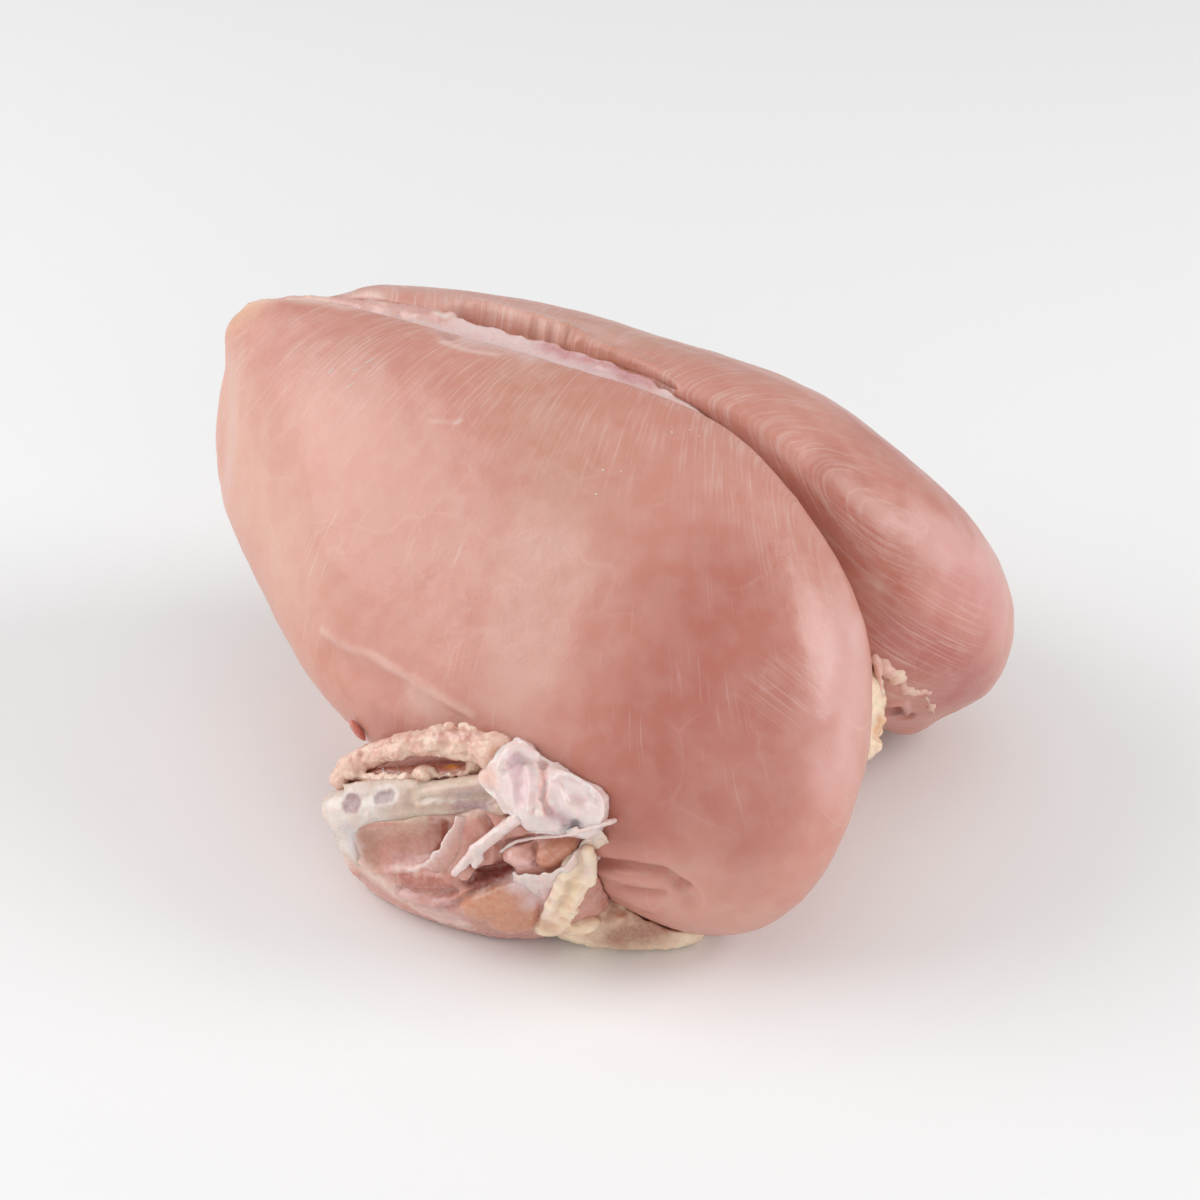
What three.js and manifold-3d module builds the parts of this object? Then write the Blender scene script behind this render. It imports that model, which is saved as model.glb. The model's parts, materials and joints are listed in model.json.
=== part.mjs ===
// A skinless whole chicken breast on the bone, lying keel up: two breast muscles either side
// of the keel, the rib cage under them, and the cut shoulder joint on each side.
// Millimetres, +Z up. +X runs along the keel to the neck end, and the origin is under the
// middle of the part, on the surface that it lies on.
import * as THREE from "three";
import { mergeVertices } from "three/addons/utils/BufferGeometryUtils.js";
import Module from "manifold-3d";

const wasm = await Module();
wasm.setup();

// Driving dimensions
const TAIL = -86; // x of the thin tail end
const FRONT = 86; // x of the round neck end
const TAIL_ROUND = 9; // length of the blunt tail's rounding
const FRONT_ROUND = 48; // length of the neck end's rounding
const TAIL_RINGS = 0.12; // share of a breast muscle's rings in the tail's rounding
const FRONT_RINGS = 0.42; // share of its rings in the neck end's rounding
const GAP = 0.35; // between neighbouring pieces

// Each breast muscle's leaning oval section, as values at these places along the keel
const STATIONS = [TAIL, -58, -28, 5, 36, 62, FRONT];
const BREAST = {
  out: [3.5, 13, 20, 21, 20.5, 24.5, 34.5], // distance of its middle from the keel's plane
  height: [69, 64, 58, 53, 48.5, 39.5, 34.5], // height of its middle
  reach: [20.5, 32.5, 42, 48, 50, 50, 51.5], // half its length down the slope
  depth: [4, 15, 25, 31, 34, 35.5, 35.5], // half its thickness
  slope: [65.5, 61.5, 55, 50.5, 50, 50, 50], // how steeply it leans down and out, degrees
  wall: [0.6, 0.6, 0.6, 0.6, 0.6, 2, 6], // distance of its inner wall from the keel's plane
};
const BREAST_FULLNESS = 2.2; // 2 is an ellipse, more is squarer
const UNDERSIDE_SHARE = 0.7; // thickness below the middle, against that above it
const WALL_SOFTNESS = 4; // how gently it bends to run along its inner wall
const REST_SOFTNESS = 2; // how gently it bends to lie flat underneath

// The keel: a blade between the muscles with a broader top edge
const KEEL = {
  tail: -80,
  front: 54,
  halfBlade: 1.2,
  halfTop: 5,
  topDepth: 6,
  below: 0.4, // its top edge below the muscles' crests
  tall: 58,
  tailTall: 30, // its height at the tail, reaching the full height at fullFrom
  fullFrom: -20,
  squareness: 4,
};

// The rib cage under the muscles
const RIBS = {
  tail: -36,
  front: 58,
  halfWidth: 30,
  height: 46,
  lean: 0.8, // how far its tail end leans back for each millimetre of height
  relief: 0.8, // of the ribs that show on its sides
  pitch: 12,
  fullness: 2.4,
  bluntness: 4,
};

// The pieces at each shoulder, in a half frame with +Y outwards
const SHOULDER = {
  path: [
    [-15, 62, 17],
    [12, 63, 17],
    [46, 58, 25],
  ],
  halfTall: 21,
  halfThick: 12.5,
};
const BLADE_BONE = {
  path: [
    [-11.5, 73, 22],
    [8, 71.5, 30.5],
    [28, 65.5, 39],
  ],
  radius: 3,
  endRadius: 4.6,
  bluntness: 6,
};
const JOINT = {
  path: [
    [25, 64, 46],
    [33, 66.5, 40],
    [49, 64, 38],
  ],
  radius: 7.5,
  waist: 6,
};
const FAT_ROLL = {
  path: [
    [-12, 66, 31],
    [5, 64, 40],
    [27, 62, 46],
  ],
  radius: 4.6,
};
const FAT_FLAP = {
  path: [
    [33, 62, 8],
    [47, 54, 5],
    [60, 44, 3],
  ],
  halfWide: 6,
  halfThick: 7,
};

// Fat in the cleft at the neck end
const NECK_FAT = {
  path: [
    [57, 0, 31],
    [75, 0, 31],
  ],
  halfTall: 12,
  halfWide: 13,
  bluntness: 2,
};

// Smooth curve through one value for each station.
function profile(stations, values) {
  const curve = new THREE.CubicInterpolant(stations, values, 1);
  return (x) => curve.evaluate(THREE.MathUtils.clamp(x, stations[0], stations.at(-1)))[0];
}

// A sphere's grid of points, each moved to place(along, around): along runs from 0 to 1
// from pole to pole, around from 0 to 2 pi.
function reshapedSphere(sides, rings, place) {
  const geometry = new THREE.SphereGeometry(1, sides, rings);
  const { position, uv } = geometry.attributes;
  for (let i = 0; i < position.count; i++) {
    const p = place(1 - uv.getY(i), -uv.getX(i) * 2 * Math.PI);
    position.setXYZ(i, p.x, p.y, p.z);
  }
  geometry.deleteAttribute("normal");
  geometry.deleteAttribute("uv");
  return mergeVertices(geometry, 1e-3);
}

// A sine or cosine bent towards a superellipse, with its sign kept.
function bulge(value, fullness) {
  return Math.sign(value) * Math.abs(value) ** (2 / fullness);
}

// Values below the limit bend round to run along it.
function bendAbove(value, limit, softness) {
  const over = value - limit;
  return limit + (over + Math.hypot(over, softness)) / 2;
}

function solid(geometry) {
  return new wasm.Manifold(
    new wasm.Mesh({
      numProp: 3,
      vertProperties: geometry.attributes.position.array,
      triVerts: new Uint32Array(geometry.index.array),
    }),
  );
}

function geometryOf(manifold) {
  const { vertProperties, triVerts, numProp } = manifold.getMesh();
  return new THREE.BufferGeometry()
    .setAttribute("position", new THREE.BufferAttribute(vertProperties, numProp))
    .setIndex(new THREE.BufferAttribute(triVerts, 1));
}

// The same closed shape on the other side of the keel's plane.
function mirrored(geometry) {
  const twin = geometry.clone().scale(1, -1, 1);
  return twin.setIndex(new THREE.BufferAttribute(geometry.index.array.toReversed(), 1));
}

// The largest body that is left of a piece when its neighbours are cut out of it.
function cutFrom(piece, neighbours) {
  const left = neighbours.reduce((rest, neighbour) => rest.subtract(neighbour), piece);
  return left.decompose().reduce((a, b) => (a.volume() > b.volume() ? a : b));
}

// Where a ring of the breast lies along the keel, and how far the rounded ends have drawn it in.
function ring(along) {
  if (along < TAIL_RINGS) {
    const turn = ((along / TAIL_RINGS) * Math.PI) / 2;
    return { x: TAIL + TAIL_ROUND * (1 - Math.cos(turn)), draw: Math.sin(turn) };
  }
  const toFront = 1 - along;
  if (toFront < FRONT_RINGS) {
    const turn = ((toFront / FRONT_RINGS) * Math.PI) / 2;
    return { x: FRONT - FRONT_ROUND * (1 - Math.cos(turn)), draw: Math.sin(turn) };
  }
  const share = (along - TAIL_RINGS) / (1 - TAIL_RINGS - FRONT_RINGS);
  return { x: THREE.MathUtils.lerp(TAIL + TAIL_ROUND, FRONT - FRONT_ROUND, share), draw: 1 };
}

// The same for a bar with two alike ends: the share of its length, that share as -1 to 1
// from end to end, and how far the rounding has drawn the ring in.
function barRing(along, bluntness) {
  const share = (1 - Math.cos(Math.PI * along)) / 2;
  const end = 2 * share - 1;
  const draw = Math.max(0, 1 - Math.abs(end) ** bluntness) ** (1 / bluntness);
  return { share, end, draw };
}

const breastAt = Object.fromEntries(
  Object.entries(BREAST).map(([name, values]) => [name, profile(STATIONS, values)]),
);

// Height of a breast muscle's crest at a place along the keel.
function crest(x) {
  const slope = THREE.MathUtils.degToRad(breastAt.slope(x));
  const rise = Math.hypot(breastAt.reach(x) * Math.sin(slope), breastAt.depth(x) * Math.cos(slope));
  return breastAt.height(x) + rise;
}

// One breast muscle, with +Y as its outer side.
function breast(grow = 0) {
  return reshapedSphere(34, 32, (along, around) => {
    const { x, draw } = ring(along);
    const slope = THREE.MathUtils.degToRad(breastAt.slope(x));
    const up = Math.sin(around);
    const down = draw * (breastAt.reach(x) + grow) * bulge(Math.cos(around), BREAST_FULLNESS);
    const thickness = draw * (breastAt.depth(x) + grow) * bulge(up, BREAST_FULLNESS);
    const proud = up > 0 ? thickness : thickness * UNDERSIDE_SHARE;
    const y = breastAt.out(x) + down * Math.cos(slope) + proud * Math.sin(slope);
    const z = breastAt.height(x) - down * Math.sin(slope) + proud * Math.cos(slope);
    return new THREE.Vector3(
      x + Math.sign(along - 0.5) * grow * (1 - draw),
      bendAbove(y, breastAt.wall(x) - grow, WALL_SOFTNESS),
      Math.max(bendAbove(z, -REST_SOFTNESS / 4 - grow, REST_SOFTNESS), -grow),
    );
  });
}

// A rounded bar along a curve. Its half sizes may change along it.
function roll({ path, halfTall, halfThick, bluntness = 3, sides = 12, rings = 10, grow = 0 }) {
  const curve = new THREE.CatmullRomCurve3(path.map((point) => new THREE.Vector3(...point)));
  const upright = new THREE.Vector3(0, 0, 1);
  return reshapedSphere(sides, rings, (along, around) => {
    const { share, end, draw } = barRing(along, bluntness);
    const tangent = curve.getTangentAt(share);
    const out = upright.clone().cross(tangent).normalize();
    const up = tangent.clone().cross(out);
    const p = curve
      .getPointAt(share)
      .addScaledVector(tangent, grow * end)
      .addScaledVector(out, (halfThick(share) + grow) * draw * Math.cos(around))
      .addScaledVector(up, (halfTall(share) + grow) * draw * Math.sin(around));
    p.z = Math.max(p.z, -grow);
    return p;
  });
}

function keel(grow = 0) {
  return reshapedSphere(16, 18, (along, around) => {
    const { share, draw } = barRing(along, KEEL.squareness);
    const x = THREE.MathUtils.lerp(KEEL.tail - grow, KEEL.front + grow, share);
    const top = crest(x) - KEEL.below;
    const out = bulge(Math.cos(around), KEEL.squareness);
    const up = bulge(Math.sin(around), KEEL.squareness);
    const rising = THREE.MathUtils.smoothstep(x, KEEL.tail, KEEL.fullFrom);
    const halfTall = THREE.MathUtils.lerp(KEEL.tailTall, KEEL.tall, rising) / 2;
    const z = top - halfTall + up * draw * (halfTall + grow);
    const broad = THREE.MathUtils.smoothstep(z, top - KEEL.topDepth, top);
    const half = THREE.MathUtils.lerp(KEEL.halfBlade, KEEL.halfTop, broad) + grow;
    return new THREE.Vector3(x, half * draw * out, z);
  });
}

// A low vault with ribs across it, flat underneath, whose tail end overhangs.
function ribCage() {
  return reshapedSphere(22, 32, (along, around) => {
    const { share, draw } = barRing(along, RIBS.bluntness);
    const x = THREE.MathUtils.lerp(RIBS.tail, RIBS.front, share);
    const rib = 1 + (RIBS.relief / RIBS.halfWidth) * Math.cos((2 * Math.PI * x) / RIBS.pitch);
    const z = Math.max(0, RIBS.height * draw * rib * Math.sin(around));
    return new THREE.Vector3(
      x - RIBS.lean * (1 - share) * z,
      RIBS.halfWidth * draw * rib * bulge(Math.cos(around), RIBS.fullness),
      z,
    );
  });
}

const shoulderFlesh = () =>
  roll({
    path: SHOULDER.path,
    halfTall: () => SHOULDER.halfTall,
    halfThick: () => SHOULDER.halfThick,
    sides: 18,
    rings: 13,
  });

const bladeBone = (grow) => {
  const { path, bluntness, endRadius, radius } = BLADE_BONE;
  const half = (share) => THREE.MathUtils.lerp(endRadius, radius, share);
  return roll({ path, halfTall: half, halfThick: half, bluntness, grow });
};

const joint = (grow) => {
  const { path, waist, radius } = JOINT;
  const half = (share) => THREE.MathUtils.lerp(waist, radius, Math.cos(2 * Math.PI * share) ** 2);
  return roll({ path, halfTall: half, halfThick: half, grow });
};

const fatRoll = (grow) => {
  const half = () => FAT_ROLL.radius;
  return roll({ path: FAT_ROLL.path, halfTall: half, halfThick: half, grow });
};

const fatFlap = (grow) =>
  roll({
    path: FAT_FLAP.path,
    halfTall: () => FAT_FLAP.halfThick,
    halfThick: () => FAT_FLAP.halfWide,
    grow,
  });

const neckFat = () =>
  roll({
    path: NECK_FAT.path,
    halfTall: () => NECK_FAT.halfTall,
    halfThick: () => NECK_FAT.halfWide,
    bluntness: NECK_FAT.bluntness,
    sides: 14,
    rings: 12,
  });

const finish = (color, roughness) =>
  new THREE.MeshStandardMaterial({ color, roughness, metalness: 0 });
const meat = finish(0xd9a08f, 0.45);
const cartilage = finish(0xe8d2d2, 0.35);
const fat = finish(0xe8cfae, 0.5);
const bone = finish(0xcfc6cc, 0.4);
const membrane = finish(0xd8a896, 0.45);

function named(name, manifold, material) {
  const mesh = new THREE.Mesh(geometryOf(manifold), material);
  mesh.name = name;
  return mesh;
}

// Pieces of one half, as solids, and the same pieces grown by the gap to cut their neighbours
const grownBreast = solid(breast(GAP));
const grownKeel = solid(keel(GAP));
const muscle = cutFrom(solid(breast()), [grownKeel]);
const grown = {
  joint: solid(joint(GAP)),
  bladeBone: solid(bladeBone(GAP)),
  fatRoll: solid(fatRoll(GAP)),
  fatFlap: solid(fatFlap(GAP)),
};
const halfPieces = [
  ["breast", muscle, meat],
  ["joint", cutFrom(solid(joint(0)), [grownBreast]), cartilage],
  ["blade_bone", cutFrom(solid(bladeBone(0)), [grownBreast, grown.joint]), bone],
  ["fat_roll", cutFrom(solid(fatRoll(0)), [grownBreast, grown.joint, grown.bladeBone]), fat],
  ["fat_flap", cutFrom(solid(fatFlap(0)), [grownBreast]), fat],
  ["shoulder", cutFrom(solid(shoulderFlesh()), [grownBreast, ...Object.values(grown)]), meat],
];

const part = new THREE.Group();
for (const [side, mirror] of [
  ["left", -1],
  ["right", 1],
]) {
  const half = new THREE.Group();
  half.scale.y = mirror;
  for (const [name, manifold, material] of halfPieces) {
    half.add(named(`${name}_${side}`, manifold, material));
  }
  part.add(half);
}

// Pieces on the middle plane, cut clear of both muscles
const bothBreasts = [grownBreast, solid(mirrored(breast(GAP)))];
part.add(named("keel", solid(keel()), cartilage));
part.add(named("rib_cage", cutFrom(solid(ribCage()), [...bothBreasts, grownKeel]), membrane));
part.add(named("neck_fat", cutFrom(solid(neckFat()), bothBreasts), fat));

export default part;
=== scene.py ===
"""Dresses a raw, skinless whole chicken breast on the bone.

Two moist lobes of breast meat lie either side of the breastbone. The cut shoulders show blade bone,
gristle, tendons, fat and torn fascia, and fat fills the neck opening above the rib cage.
"""
import json
import logging
import math
from collections.abc import Sequence
from dataclasses import dataclass, replace
from enum import Enum

import bpy
import numpy as np
from mathutils import Euler, Matrix, Vector, noise
from mathutils.bvhtree import BVHTree

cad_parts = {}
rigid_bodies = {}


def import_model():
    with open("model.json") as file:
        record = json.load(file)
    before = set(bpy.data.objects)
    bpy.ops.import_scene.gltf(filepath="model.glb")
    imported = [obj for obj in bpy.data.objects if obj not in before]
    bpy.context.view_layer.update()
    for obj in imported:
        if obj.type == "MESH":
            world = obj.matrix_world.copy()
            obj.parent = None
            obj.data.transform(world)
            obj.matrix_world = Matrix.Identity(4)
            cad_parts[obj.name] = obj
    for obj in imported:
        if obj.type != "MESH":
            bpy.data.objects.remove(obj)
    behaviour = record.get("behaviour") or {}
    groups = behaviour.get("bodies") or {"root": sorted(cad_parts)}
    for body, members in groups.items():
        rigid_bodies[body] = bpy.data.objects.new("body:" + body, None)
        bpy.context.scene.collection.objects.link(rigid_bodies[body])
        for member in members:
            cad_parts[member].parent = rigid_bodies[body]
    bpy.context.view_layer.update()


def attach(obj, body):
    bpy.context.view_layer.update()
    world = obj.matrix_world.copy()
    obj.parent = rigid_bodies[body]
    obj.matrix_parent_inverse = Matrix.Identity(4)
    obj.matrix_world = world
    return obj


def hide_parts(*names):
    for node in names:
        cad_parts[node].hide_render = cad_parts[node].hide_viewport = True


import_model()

MM = 0.001
LOG = logging.getLogger("chicken_breast")
Point = tuple[float, float, float]
Colour = tuple[float, float, float]


class Side(Enum):
    """The two halves of the breast. The value is the sign of Y on that half."""

    LEFT = -1
    RIGHT = 1

    def node(self, part: str) -> str:
        """Name of this half's node of a part."""
        return f"{part}_{self.name.lower()}"


class Slot(Enum):
    """Material slots of the record."""

    MEAT = "meat"
    SHOULDER = "shoulder_meat"
    CARTILAGE = "cartilage"
    BONE = "bone"
    FAT = "fat"
    MEMBRANE = "membrane"


def tone(red: int, green: int, blue: int) -> Colour:
    """Turn a screen colour into the linear one that shaders use.

    Args:
        red: Red from 0 to 255.
        green: Green from 0 to 255.
        blue: Blue from 0 to 255.

    Returns:
        The linear colour, each share from 0 to 1.
    """
    shares = (channel / 255 for channel in (red, green, blue))
    return tuple(s / 12.92 if s <= 0.04045 else ((s + 0.055) / 1.055) ** 2.4 for s in shares)


# Colours of the raw meat and what lies on it
PEACH = tone(216, 162, 146)
PINK = tone(204, 141, 125)
ROSE = tone(184, 107, 93)
TAN = tone(198, 144, 122)
BUFF = tone(222, 180, 156)
# Painted shade for the dark line in the lobe's lower crease
CREASE_SHADE = tone(124, 58, 50)
PEARL = tone(240, 226, 220)
CREAM = tone(240, 216, 178)
STRAW = tone(236, 200, 150)
AMBER = tone(222, 140, 44)

# Shifts in mm that set the three directions of a chance stray apart, for painted and for torn edges
PAINT_SHIFTS = (0, 31, 57)
TEAR_SHIFTS = (0, 19, 43)

# How far red, green and blue light go into raw tissue, the gloss of its wet film, and its bending of light
LIGHT_REACH = (1.0, 0.42, 0.28)
FILM_ROUGHNESS = 0.22
TISSUE_IOR = 1.4


@dataclass(frozen=True)
class Ball:
    """One lump of flesh, fat or gristle before it is worked into its neighbours (mm).

    Attributes:
        centre: Middle of the lump.
        radii: Half sizes along X, Y and Z before it is turned.
        turn: Turns about X, Y and Z in degrees.
    """

    centre: Point
    radii: Point
    turn: Point = (0, 0, 0)


@dataclass(frozen=True)
class Strand:
    """A cord of tissue along a smooth path (mm).

    Attributes:
        path: Points that it runs through.
        radius: Radius at its start.
        end_radius: Radius at its end.
    """

    path: tuple[Point, ...]
    radius: float
    end_radius: float

    def tube(self) -> bpy.types.Object:
        """Run a tube with closed ends along the strand.

        Returns:
            The tube as an object of its own.
        """
        step = 1.5 * min(self.radius, self.end_radius)
        places = smooth_path(self.path, step)
        curve = bpy.data.curves.new("strand", "CURVE")
        curve.dimensions = "3D"
        curve.bevel_depth = MM
        curve.bevel_resolution = 2
        curve.use_fill_caps = True
        spline = curve.splines.new("POLY")
        spline.points.add(len(places) - 1)
        for share, point, place in zip(np.linspace(0, 1, len(places)), spline.points, places):
            point.co = (*(place * MM), 1)
            point.radius = self.radius + (self.end_radius - self.radius) * share
        tube = bpy.data.objects.new("strand", curve)
        bpy.context.scene.collection.objects.link(tube)
        activate(tube)
        bpy.ops.object.convert(target="MESH")
        return bpy.context.object

    def ends(self) -> list[Ball]:
        """Balls that round off the two ends."""
        return [Ball(self.path[0], (self.radius,) * 3), Ball(self.path[-1], (self.end_radius,) * 3)]


@dataclass(frozen=True)
class Stroke:
    """A path over a surface that is pressed or painted (mm).

    Attributes:
        path: Points that the stroke passes, or a single point for a dab.
        width: Distance from the path at which it has faded out.
        amount: Height in mm for a pressed stroke, or cover from 0 to 1 for a painted one.
        colour: Colour of a painted stroke.
        edge: Share of the width over which it fades.
    """

    path: tuple[Point, ...]
    width: float
    amount: float
    colour: Colour = PEARL
    edge: float = 1.0


def smooth_path(path: tuple[Point, ...], step: float) -> np.ndarray:
    """Run a smooth curve through points.

    Args:
        path: The points, in mm.
        step: Distance between the places that are given back.

    Returns:
        Places along the curve, one row each.
    """
    knots = np.array([path[0], *path, path[-1]], float)
    rows = []
    for before, start, end, after in zip(knots, knots[1:], knots[2:], knots[3:]):
        count = max(2, int(np.linalg.norm(end - start) / step) + 1)
        for share in np.linspace(0, 1, count, endpoint=False):
            pull = 2 * start + (end - before) * share
            bend = (2 * before - 5 * start + 4 * end - after) * share**2
            swing = (3 * start - before - 3 * end + after) * share**3
            rows.append((pull + bend + swing) / 2)
    rows.append(knots[-1])
    return np.array(rows)


def deselect() -> None:
    """Leave nothing selected and nothing in edit mode."""
    if bpy.context.object and bpy.context.object.mode != "OBJECT":
        bpy.ops.object.mode_set(mode="OBJECT")
    bpy.ops.object.select_all(action="DESELECT")


def activate(piece: bpy.types.Object) -> None:
    """Make one piece the only selected and the active one.

    Args:
        piece: The piece.
    """
    deselect()
    piece.select_set(True)
    bpy.context.view_layer.objects.active = piece


def new_piece(name: str, mesh: bpy.types.Mesh | None = None) -> bpy.types.Object:
    """Add a piece at the origin.

    Args:
        name: Name of the piece.
        mesh: Its mesh, or None for an empty one.

    Returns:
        The piece, which is then the active one.
    """
    piece = bpy.data.objects.new(name, mesh or bpy.data.meshes.new(name))
    bpy.context.scene.collection.objects.link(piece)
    activate(piece)
    return piece


def apply_modifier(piece: bpy.types.Object, kind: str, **settings: object) -> None:
    """Add a modifier to a piece and apply it.

    Args:
        piece: The piece.
        kind: Blender's name of the modifier.
        **settings: Values of the modifier.
    """
    activate(piece)
    modifier = piece.modifiers.new(kind.lower(), kind)
    for key, value in settings.items():
        setattr(modifier, key, value)
    bpy.ops.object.modifier_apply(modifier=modifier.name)


def copy_of_node(node: str, name: str) -> bpy.types.Object:
    """Copy a solid of the frame as one merged skin.

    Args:
        node: Name of the solid.
        name: Name of the copy.

    Returns:
        The copy, at the origin.
    """
    piece = new_piece(name, bpy.data.objects[node].data.copy())
    piece.data.materials.clear()
    bpy.ops.object.mode_set(mode="EDIT")
    bpy.ops.mesh.select_all(action="SELECT")
    bpy.ops.mesh.remove_doubles(threshold=0.01 * MM)
    bpy.ops.object.mode_set(mode="OBJECT")
    return piece


def add_balls(piece: bpy.types.Object, balls: list[Ball]) -> None:
    """Stick lumps onto a piece.

    Args:
        piece: The piece.
        balls: The lumps.
    """
    activate(piece)
    bpy.ops.object.mode_set(mode="EDIT")
    for ball in balls:
        bpy.ops.mesh.primitive_uv_sphere_add(
            segments=16,
            ring_count=10,
            radius=1,
            location=[MM * value for value in ball.centre],
            rotation=[math.radians(angle) for angle in ball.turn],
            scale=[MM * value for value in ball.radii],
        )
    bpy.ops.object.mode_set(mode="OBJECT")


def work_together(piece: bpy.types.Object, voxel: float, passes: int) -> None:
    """Knead the lumps of a piece into one skin.

    Args:
        piece: The piece.
        voxel: Size of the new skin's faces in mm.
        passes: How often it is smoothed.
    """
    apply_modifier(piece, "REMESH", mode="VOXEL", voxel_size=voxel * MM)
    apply_modifier(piece, "SMOOTH", factor=0.5, iterations=passes)


def roughen(piece: bpy.types.Object, *lumps: tuple[float, float]) -> None:
    """Give a piece uneven lumps.

    Args:
        piece: The piece.
        *lumps: How far lumps go in and out and how large they are, in mm, from coarse to fine.
    """
    for height, size in lumps:
        clouds = bpy.data.textures.new(f"{piece.name}_lumps", "CLOUDS")
        clouds.noise_scale = size * MM
        clouds.noise_depth = 2
        apply_modifier(
            piece, "DISPLACE", texture=clouds, texture_coords="LOCAL", strength=2 * height * MM, mid_level=0.5
        )


def vectors_of(items: bpy.types.bpy_prop_collection, key: str) -> np.ndarray:
    """Read a vector of each item of a mesh.

    Args:
        items: The mesh's vertices, or their normals.
        key: Blender's name of the vector.

    Returns:
        The vectors, one row each.
    """
    flat = np.empty(3 * len(items), np.float32)
    items.foreach_get(key, flat)
    return flat.reshape(-1, 3).astype(float)


def points_of(piece: bpy.types.Object) -> np.ndarray:
    """Places of a piece's vertices in mm, one row each."""
    return vectors_of(piece.data.vertices, "co") / MM


def move_points(piece: bpy.types.Object, places: np.ndarray) -> None:
    """Put a piece's vertices at new places, given in mm."""
    piece.data.vertices.foreach_set("co", (places * MM).astype(np.float32).ravel())
    piece.data.update()


def normals_of(piece: bpy.types.Object) -> np.ndarray:
    """Outward directions at a piece's vertices, one row each."""
    return vectors_of(piece.data.vertex_normals, "vector")


def wander(places: np.ndarray, size: float) -> np.ndarray:
    """Smooth chance values over the surface.

    Args:
        places: Vertices in mm.
        size: Size of the waves in mm.

    Returns:
        A value from about -1 to 1 for each vertex.
    """
    return np.array([noise.noise(Vector(place) / size) for place in places])


def drift(places: np.ndarray, size: float, shifts: tuple[float, ...]) -> np.ndarray:
    """Smooth chance strays over the surface.

    Args:
        places: Vertices in mm.
        size: Size of the waves in mm.
        shifts: Shift in mm for each of the three directions.

    Returns:
        A stray for each vertex, one row each.
    """
    return np.stack([wander(places + shift, size) for shift in shifts], axis=1)


def nearness(places: np.ndarray, stroke: Stroke) -> np.ndarray:
    """How much each vertex is under a stroke.

    Args:
        places: Vertices in mm.
        stroke: The stroke.

    Returns:
        1 on the path, fading to 0 at the stroke's width.
    """
    path = np.array(stroke.path, float)
    gap = np.linalg.norm(places - path[0], axis=1)
    for start, end in zip(path, path[1:]):
        run = end - start
        share = np.clip((places - start) @ run / (run @ run), 0, 1)
        gap = np.minimum(gap, np.linalg.norm(places - start - share[:, None] * run, axis=1))
    cover = np.clip((1 - gap / stroke.width) / stroke.edge, 0, 1)
    return cover * cover * (3 - 2 * cover)


def press(piece: bpy.types.Object, strokes: tuple[Stroke, ...]) -> None:
    """Raise or sink the surface of a piece along strokes.

    Args:
        piece: The piece.
        strokes: Strokes whose amounts are heights in mm.
    """
    places = points_of(piece)
    normals = normals_of(piece)
    rise = sum(nearness(places, stroke) * stroke.amount for stroke in strokes)
    move_points(piece, places + normals * rise[:, None])


def sag(piece: bpy.types.Object, stroke: Stroke) -> None:
    """Let the surface of a piece hang lower along a stroke.

    Args:
        piece: The piece.
        stroke: Stroke whose amount is the drop in mm.
    """
    places = points_of(piece)
    places[:, 2] -= nearness(places, stroke) * stroke.amount
    move_points(piece, places)


def soften(piece: bpy.types.Object, stroke: Stroke, passes: int) -> None:
    """Smooth the surface of a piece along a stroke.

    Args:
        piece: The piece.
        stroke: Stroke that says where.
        passes: How often the surface is smoothed.
    """
    group = piece.vertex_groups.new(name="soft")
    for index, cover in enumerate(nearness(points_of(piece), stroke)):
        if cover > 0:
            group.add([index], float(cover), "REPLACE")
    apply_modifier(piece, "SMOOTH", factor=0.5, iterations=passes, vertex_group=group.name)
    piece.vertex_groups.clear()


def paint(piece: bpy.types.Object, base: Colour, strokes: tuple[Stroke, ...], ragged: float) -> None:
    """Colour a piece stroke over stroke.

    Args:
        piece: The piece.
        base: Colour under the strokes.
        strokes: Strokes with their colours and cover.
        ragged: Size in mm of the raggedness of the strokes' edges.
    """
    places = points_of(piece)
    stray = drift(places, 2 * ragged, PAINT_SHIFTS)
    colours = np.tile(np.array(base), (len(places), 1))
    for stroke in strokes:
        strayed = places + stray * min(ragged, 0.5 * stroke.width)
        cover = nearness(strayed, stroke)[:, None] * stroke.amount
        colours += (np.array(stroke.colour) - colours) * cover
    tint = piece.data.color_attributes.new("tint", "FLOAT_COLOR", "POINT")
    opaque = np.hstack([colours, np.ones((len(places), 1))])
    tint.data.foreach_set("color", opaque.astype(np.float32).ravel())


def mirrored(strokes: tuple[Stroke, ...], side: Side) -> tuple[Stroke, ...]:
    """Bring strokes of the left half to a side.

    Args:
        strokes: Strokes on the left half.
        side: The half that they are for.

    Returns:
        The strokes on that half.
    """
    if side is Side.LEFT:
        return strokes
    return tuple(replace(stroke, path=tuple((x, -y, z) for x, y, z in stroke.path)) for stroke in strokes)


def settle(piece: bpy.types.Object, side: Side) -> None:
    """Bring a piece that was modelled on the left half to its side.

    Args:
        piece: The piece.
        side: The half that it is for.
    """
    if side is Side.RIGHT:
        piece.data.transform(Matrix.Scale(-1, 4, (0, 1, 0)))
        piece.data.flip_normals()


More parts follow.
